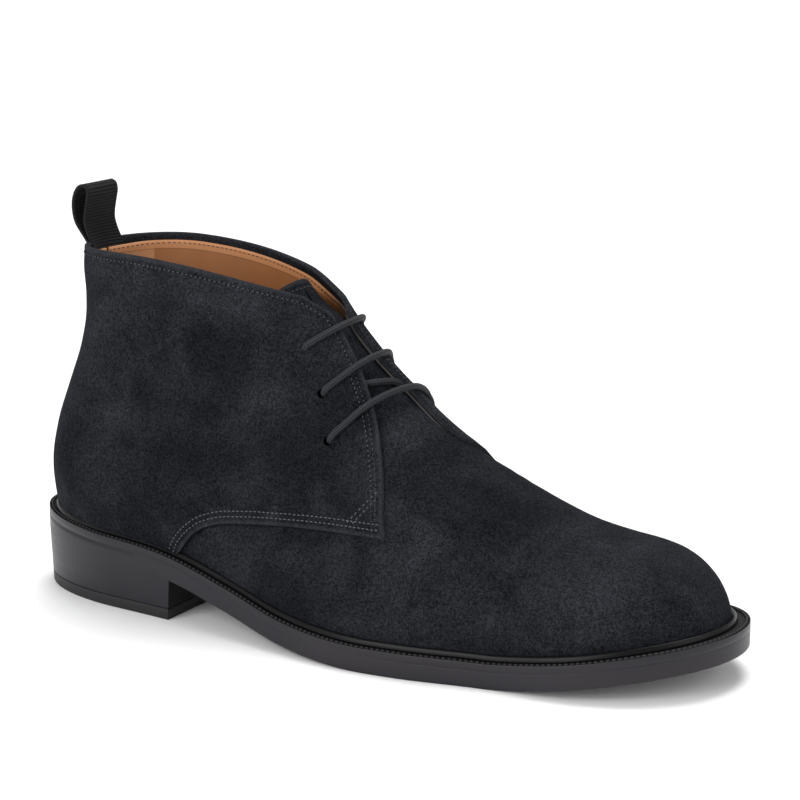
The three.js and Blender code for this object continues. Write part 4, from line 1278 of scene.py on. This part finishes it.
# rows are (points, normals) pairs; one piece holds them all
def stitchPiece(name, rows, pitch, length, thickness, finish, slot):
    points = np.concatenate([p for p, n in rows])
    normals = np.concatenate([n for p, n in rows])
    edges, start = [], 0
    for p, n in rows:
        edges += [(start + i, start + i + 1) for i in range(len(p) - 1)]
        start += len(p)
    mesh = bpy.data.meshes.new(name)
    mesh.from_pydata(toFrame(points).tolist(), edges, [])
    layer = mesh.attributes.new("up", "FLOAT_VECTOR", "POINT")
    layer.data.foreach_set("vector", normals.astype(np.float32).ravel())
    obj = bpy.data.objects.new(name, mesh)
    scene.collection.objects.link(obj)
    modifier = obj.modifiers.new("stitches", "NODES")
    modifier.node_group = stitches
    values = {"Pitch": pitch / 1000, "Length": length / 1000, "Thickness": thickness / 1000,
              "Thread": finishes[finish]}
    for item in stitches.interface.items_tree:
        if item.in_out == "INPUT" and item.name in values:
            modifier[item.identifier] = values[item.name]
    bake(obj)
    return dress(obj, finish, slot)


# each kind of row: pitch, stitch length and thickness, how far the rows are from their edges
stitching = {
    "seam": {"size": (1.95, 1.3, 0.46), "rows": (2.4, 4.5), "from": 0.5105},
    "facing": {"size": (1.95, 1.35, 0.46), "rows": (2.5, 4.3), "from": 0.514, "joins": 0.70},
    "hole": {"size": (1.95, 0.62, 0.5)},
    "lining": {"size": (2.2, 1.5, 0.45), "rows": (3.7,), "height": -1.72},
    "tongue": {"size": (1.95, 1.3, 0.46), "rows": (2.4,)},
    "welt": {"size": (2.15, 1.85, 1.15), "rows": (1.3,), "height": -0.22},
    "smoothing": 15, "feather": 1.6,
}
surface = quarter["outside"] - 0.05


# row of stitches inside an edge; keep picks the stretch, inward turns the stitches to the inside
def rowAlong(edge, side, distance, height, keep=None, inward=1):
    reach = stitching["smoothing"]
    window = np.hanning(2 * reach + 1)
    at, angle = (np.convolve(np.pad(line, reach, "reflect", reflect_type="odd"),
                             window / window.sum(), "valid")
                 for line in inset(*edge, side, distance, formPoint(*panelMiddle, side)))
    if keep is not None:
        chosen = keep(at, angle)
        at, angle = at[chosen], angle[chosen]
    height = height(at, angle) if callable(height) else height
    return offForm(at, angle, side, height), formNormal(at, angle, side) * inward


def quarterRows(side):
    edges = quarterEdges(side, 900)
    seam, facing, tan = stitching["seam"], stitching["facing"], stitching["lining"]

    def aboveWelt(at, angle):
        p = formPoint(at, angle, side)
        return p[:, 2] > featherHeight(p[:, 0]) + stitching["feather"]

    def pastCorner(at, angle):
        return at > facing["from"]

    seamEdge = [line[edges["seam"][0] > seam["from"]] for line in edges["seam"]]
    pale = [rowAlong(seamEdge, side, distance, surface, aboveWelt) for distance in seam["rows"]]
    # one row follows the collar and turns down the facing; a second joins it lower down
    rim = [np.concatenate([collar[6:-2], front[::-1]])
           for collar, front in zip(edges["collar"], edges["facing"])]
    length = lengthAlong(formPoint(*rim, side))
    rim = [np.interp(np.arange(0, length[-1], 0.5), length, line) for line in rim]
    lower = [line[rim[0] < facing["joins"]] for line in rim]
    dark = [rowAlong(edge, side, distance, surface, pastCorner)
            for edge, distance in zip((rim, lower), facing["rows"])]
    collar = [line[6:-8] for line in edges["collar"]]
    inside = rowAlong(collar, side, tan["rows"][0],
                      lambda at, angle: tan["height"] - overLoop(at, angle, side), inward=-1)
    return pale, dark, inside


# slanting tack that closes the outer quarter's front corner: two short rows between places (x, z)
tack = [((164.0, 51.6), (173.2, 62.6)), ((166.6, 51.6), (173.6, 60.2))]


def tackRow(low, high, side=-1):
    ends = np.array([locate(*low, side, (0.53, 1.6)), locate(*high, side, (0.53, 1.9))])
    at, angle = (ends[0] + (ends[1] - ends[0]) * np.linspace(0, 1, 40)[:, None]).T
    return offForm(at, angle, side, surface), formNormal(at, angle, side)


# the tongue's top edge is turned and stitched too
def tongueRow():
    normals = unit(np.cross(np.gradient(sheet, axis=0), np.gradient(sheet, axis=1)))
    normals *= np.sign(normals[-20, normals.shape[1] // 2, 0])
    columns = np.arange(8, sheet.shape[1] - 8)
    down = np.cumsum(np.linalg.norm(np.diff(sheet[::-1], axis=0), axis=-1), axis=0)
    rows = sheet.shape[0] - 2 - np.argmax(down > stitching["tongue"]["rows"][0], axis=0)
    place = rows[columns], columns
    return sheet[place] + 0.02 * normals[place], normals[place]


def weltRow():
    line = weltLoop(0, stitching["welt"]["rows"][0], top + stitching["welt"]["height"])
    line = np.concatenate([line, line[:1]])
    tangent = np.gradient(line, axis=0)
    up = unit(np.cross(np.cross(tangent, (0, 0, 1.0)), tangent))
    return line, up * np.sign(up[:, 2:3])


outerRows, innerRows = quarterRows(-1), quarterRows(1)
paleRows = outerRows[0] + innerRows[0] + [tackRow(*ends) for ends in tack]
darkRows = outerRows[1] + innerRows[1]
# dark blobs along the facing rows are the painted shade of the needle holes
holeRows = [(points[2:], normals[2:]) for points, normals in darkRows]
for name, rows, kind, finish, slot in (
        ("seamStitches", paleRows, "seam", "paleThread", "suede"),
        ("facingStitches", darkRows, "facing", "darkThread", "suede"),
        ("paintedHoleShades", holeRows, "hole", "paintedHoleShade", "suede"),
        ("liningStitches", [outerRows[2], innerRows[2]], "lining", "tanThread", "suede"),
        ("tongueStitches", [tongueRow()], "tongue", "darkThread", "suede"),
        ("weltStitches", [weltRow()], "welt", "weltThread", "welt")):
    stitchPiece(name, rows, *stitching[kind]["size"], finish, slot)
print("stitches")

# ---- stage: plain pale floor, camera and soft studio light; lengths here are in metres but for places
floorHalf = 9000
floor = makeMesh("floor", np.array([(-1, -1, 0), (1, -1, 0), (1, 1, 0), (-1, 1, 0)]) * floorHalf,
                 [[0, 1, 2, 3]])
floor.data.materials.append(Finish("paleFloor", **{
    "Base Color": (0.955, 0.955, 0.957), "Roughness": 0.9, "Specular IOR Level": 0.1}).material)

view = {"azimuth": 30.0, "elevation": 13.0, "distance": 0.92, "target": (164.0, 0.0, 91.0),
        "lens": 108.45, "sensor": 36.0, "clipEnd": 60}
# azimuth, elevation, distance, size, watts
lamps = {"key": (-10, 26, 1.7, 1.2, 18.5), "side": (85, 25, 1.8, 1.2, 7)}
lampTarget = (150, 0, 60)
overhead = {"azimuth": 185, "elevation": 73, "strength": 2.25, "spread": 30}
sky = {"From Min": 0.10, "From Max": 0.30, "To Min": 1.03, "To Max": 0.50}   # by height of direction


# direction from the boot toward an azimuth and elevation
def toward(azimuth, elevation):
    a, e = math.radians(azimuth), math.radians(elevation)
    return np.array([math.sin(a) * math.cos(e), -math.cos(a) * math.cos(e), math.sin(e)])


# links an object that looks at a place on the boot from a direction and distance
def aimed(name, data, azimuth, elevation, distance, place):
    obj = bpy.data.objects.new(name, data)
    scene.collection.objects.link(obj)
    target = toFrame(place)
    start = target + toward(azimuth, elevation) * distance
    turn = Vector(target - start).to_track_quat("-Z", "Y").to_matrix().to_4x4()
    obj.matrix_world = Matrix.Translation(Vector(start)) @ turn
    return obj


camera = bpy.data.cameras.new("camera")
camera.sensor_width = view["sensor"]
camera.lens = view["lens"]
camera.clip_end = view["clipEnd"]
scene.camera = aimed("camera", camera, view["azimuth"], view["elevation"], view["distance"],
                     view["target"])

for name, (azimuth, elevation, distance, size, watts) in lamps.items():
    lamp = bpy.data.lights.new(name, "AREA")
    lamp.size = size
    lamp.energy = watts
    aimed(name, lamp, azimuth, elevation, distance, lampTarget)

# broad light from overhead and behind, so that the shadow falls forward
sun = bpy.data.lights.new("overhead", "SUN")
sun.energy = overhead["strength"]
sun.angle = math.radians(overhead["spread"])
aimed("overhead", sun, overhead["azimuth"], overhead["elevation"], 1.0, view["target"])

# the world is bright at the horizon and dims higher up
world = bpy.data.worlds.new("world")
world.use_nodes = True
tree = world.node_tree
direction = tree.nodes.new("ShaderNodeTexCoord").outputs["Generated"]
height = tree.nodes.new("ShaderNodeSeparateXYZ")
glow = tree.nodes.new("ShaderNodeMapRange")
glow.interpolation_type = "SMOOTHSTEP"
for name, value in sky.items():
    glow.inputs[name].default_value = value
background = tree.nodes["Background"]
background.inputs["Color"].default_value = (1, 1, 1, 1)
tree.links.new(direction, height.inputs[0])
tree.links.new(height.outputs["Z"], glow.inputs["Value"])
tree.links.new(glow.outputs["Result"], background.inputs["Strength"])
scene.world = world
scene.view_settings.view_transform = "Standard"
print("stage ready")
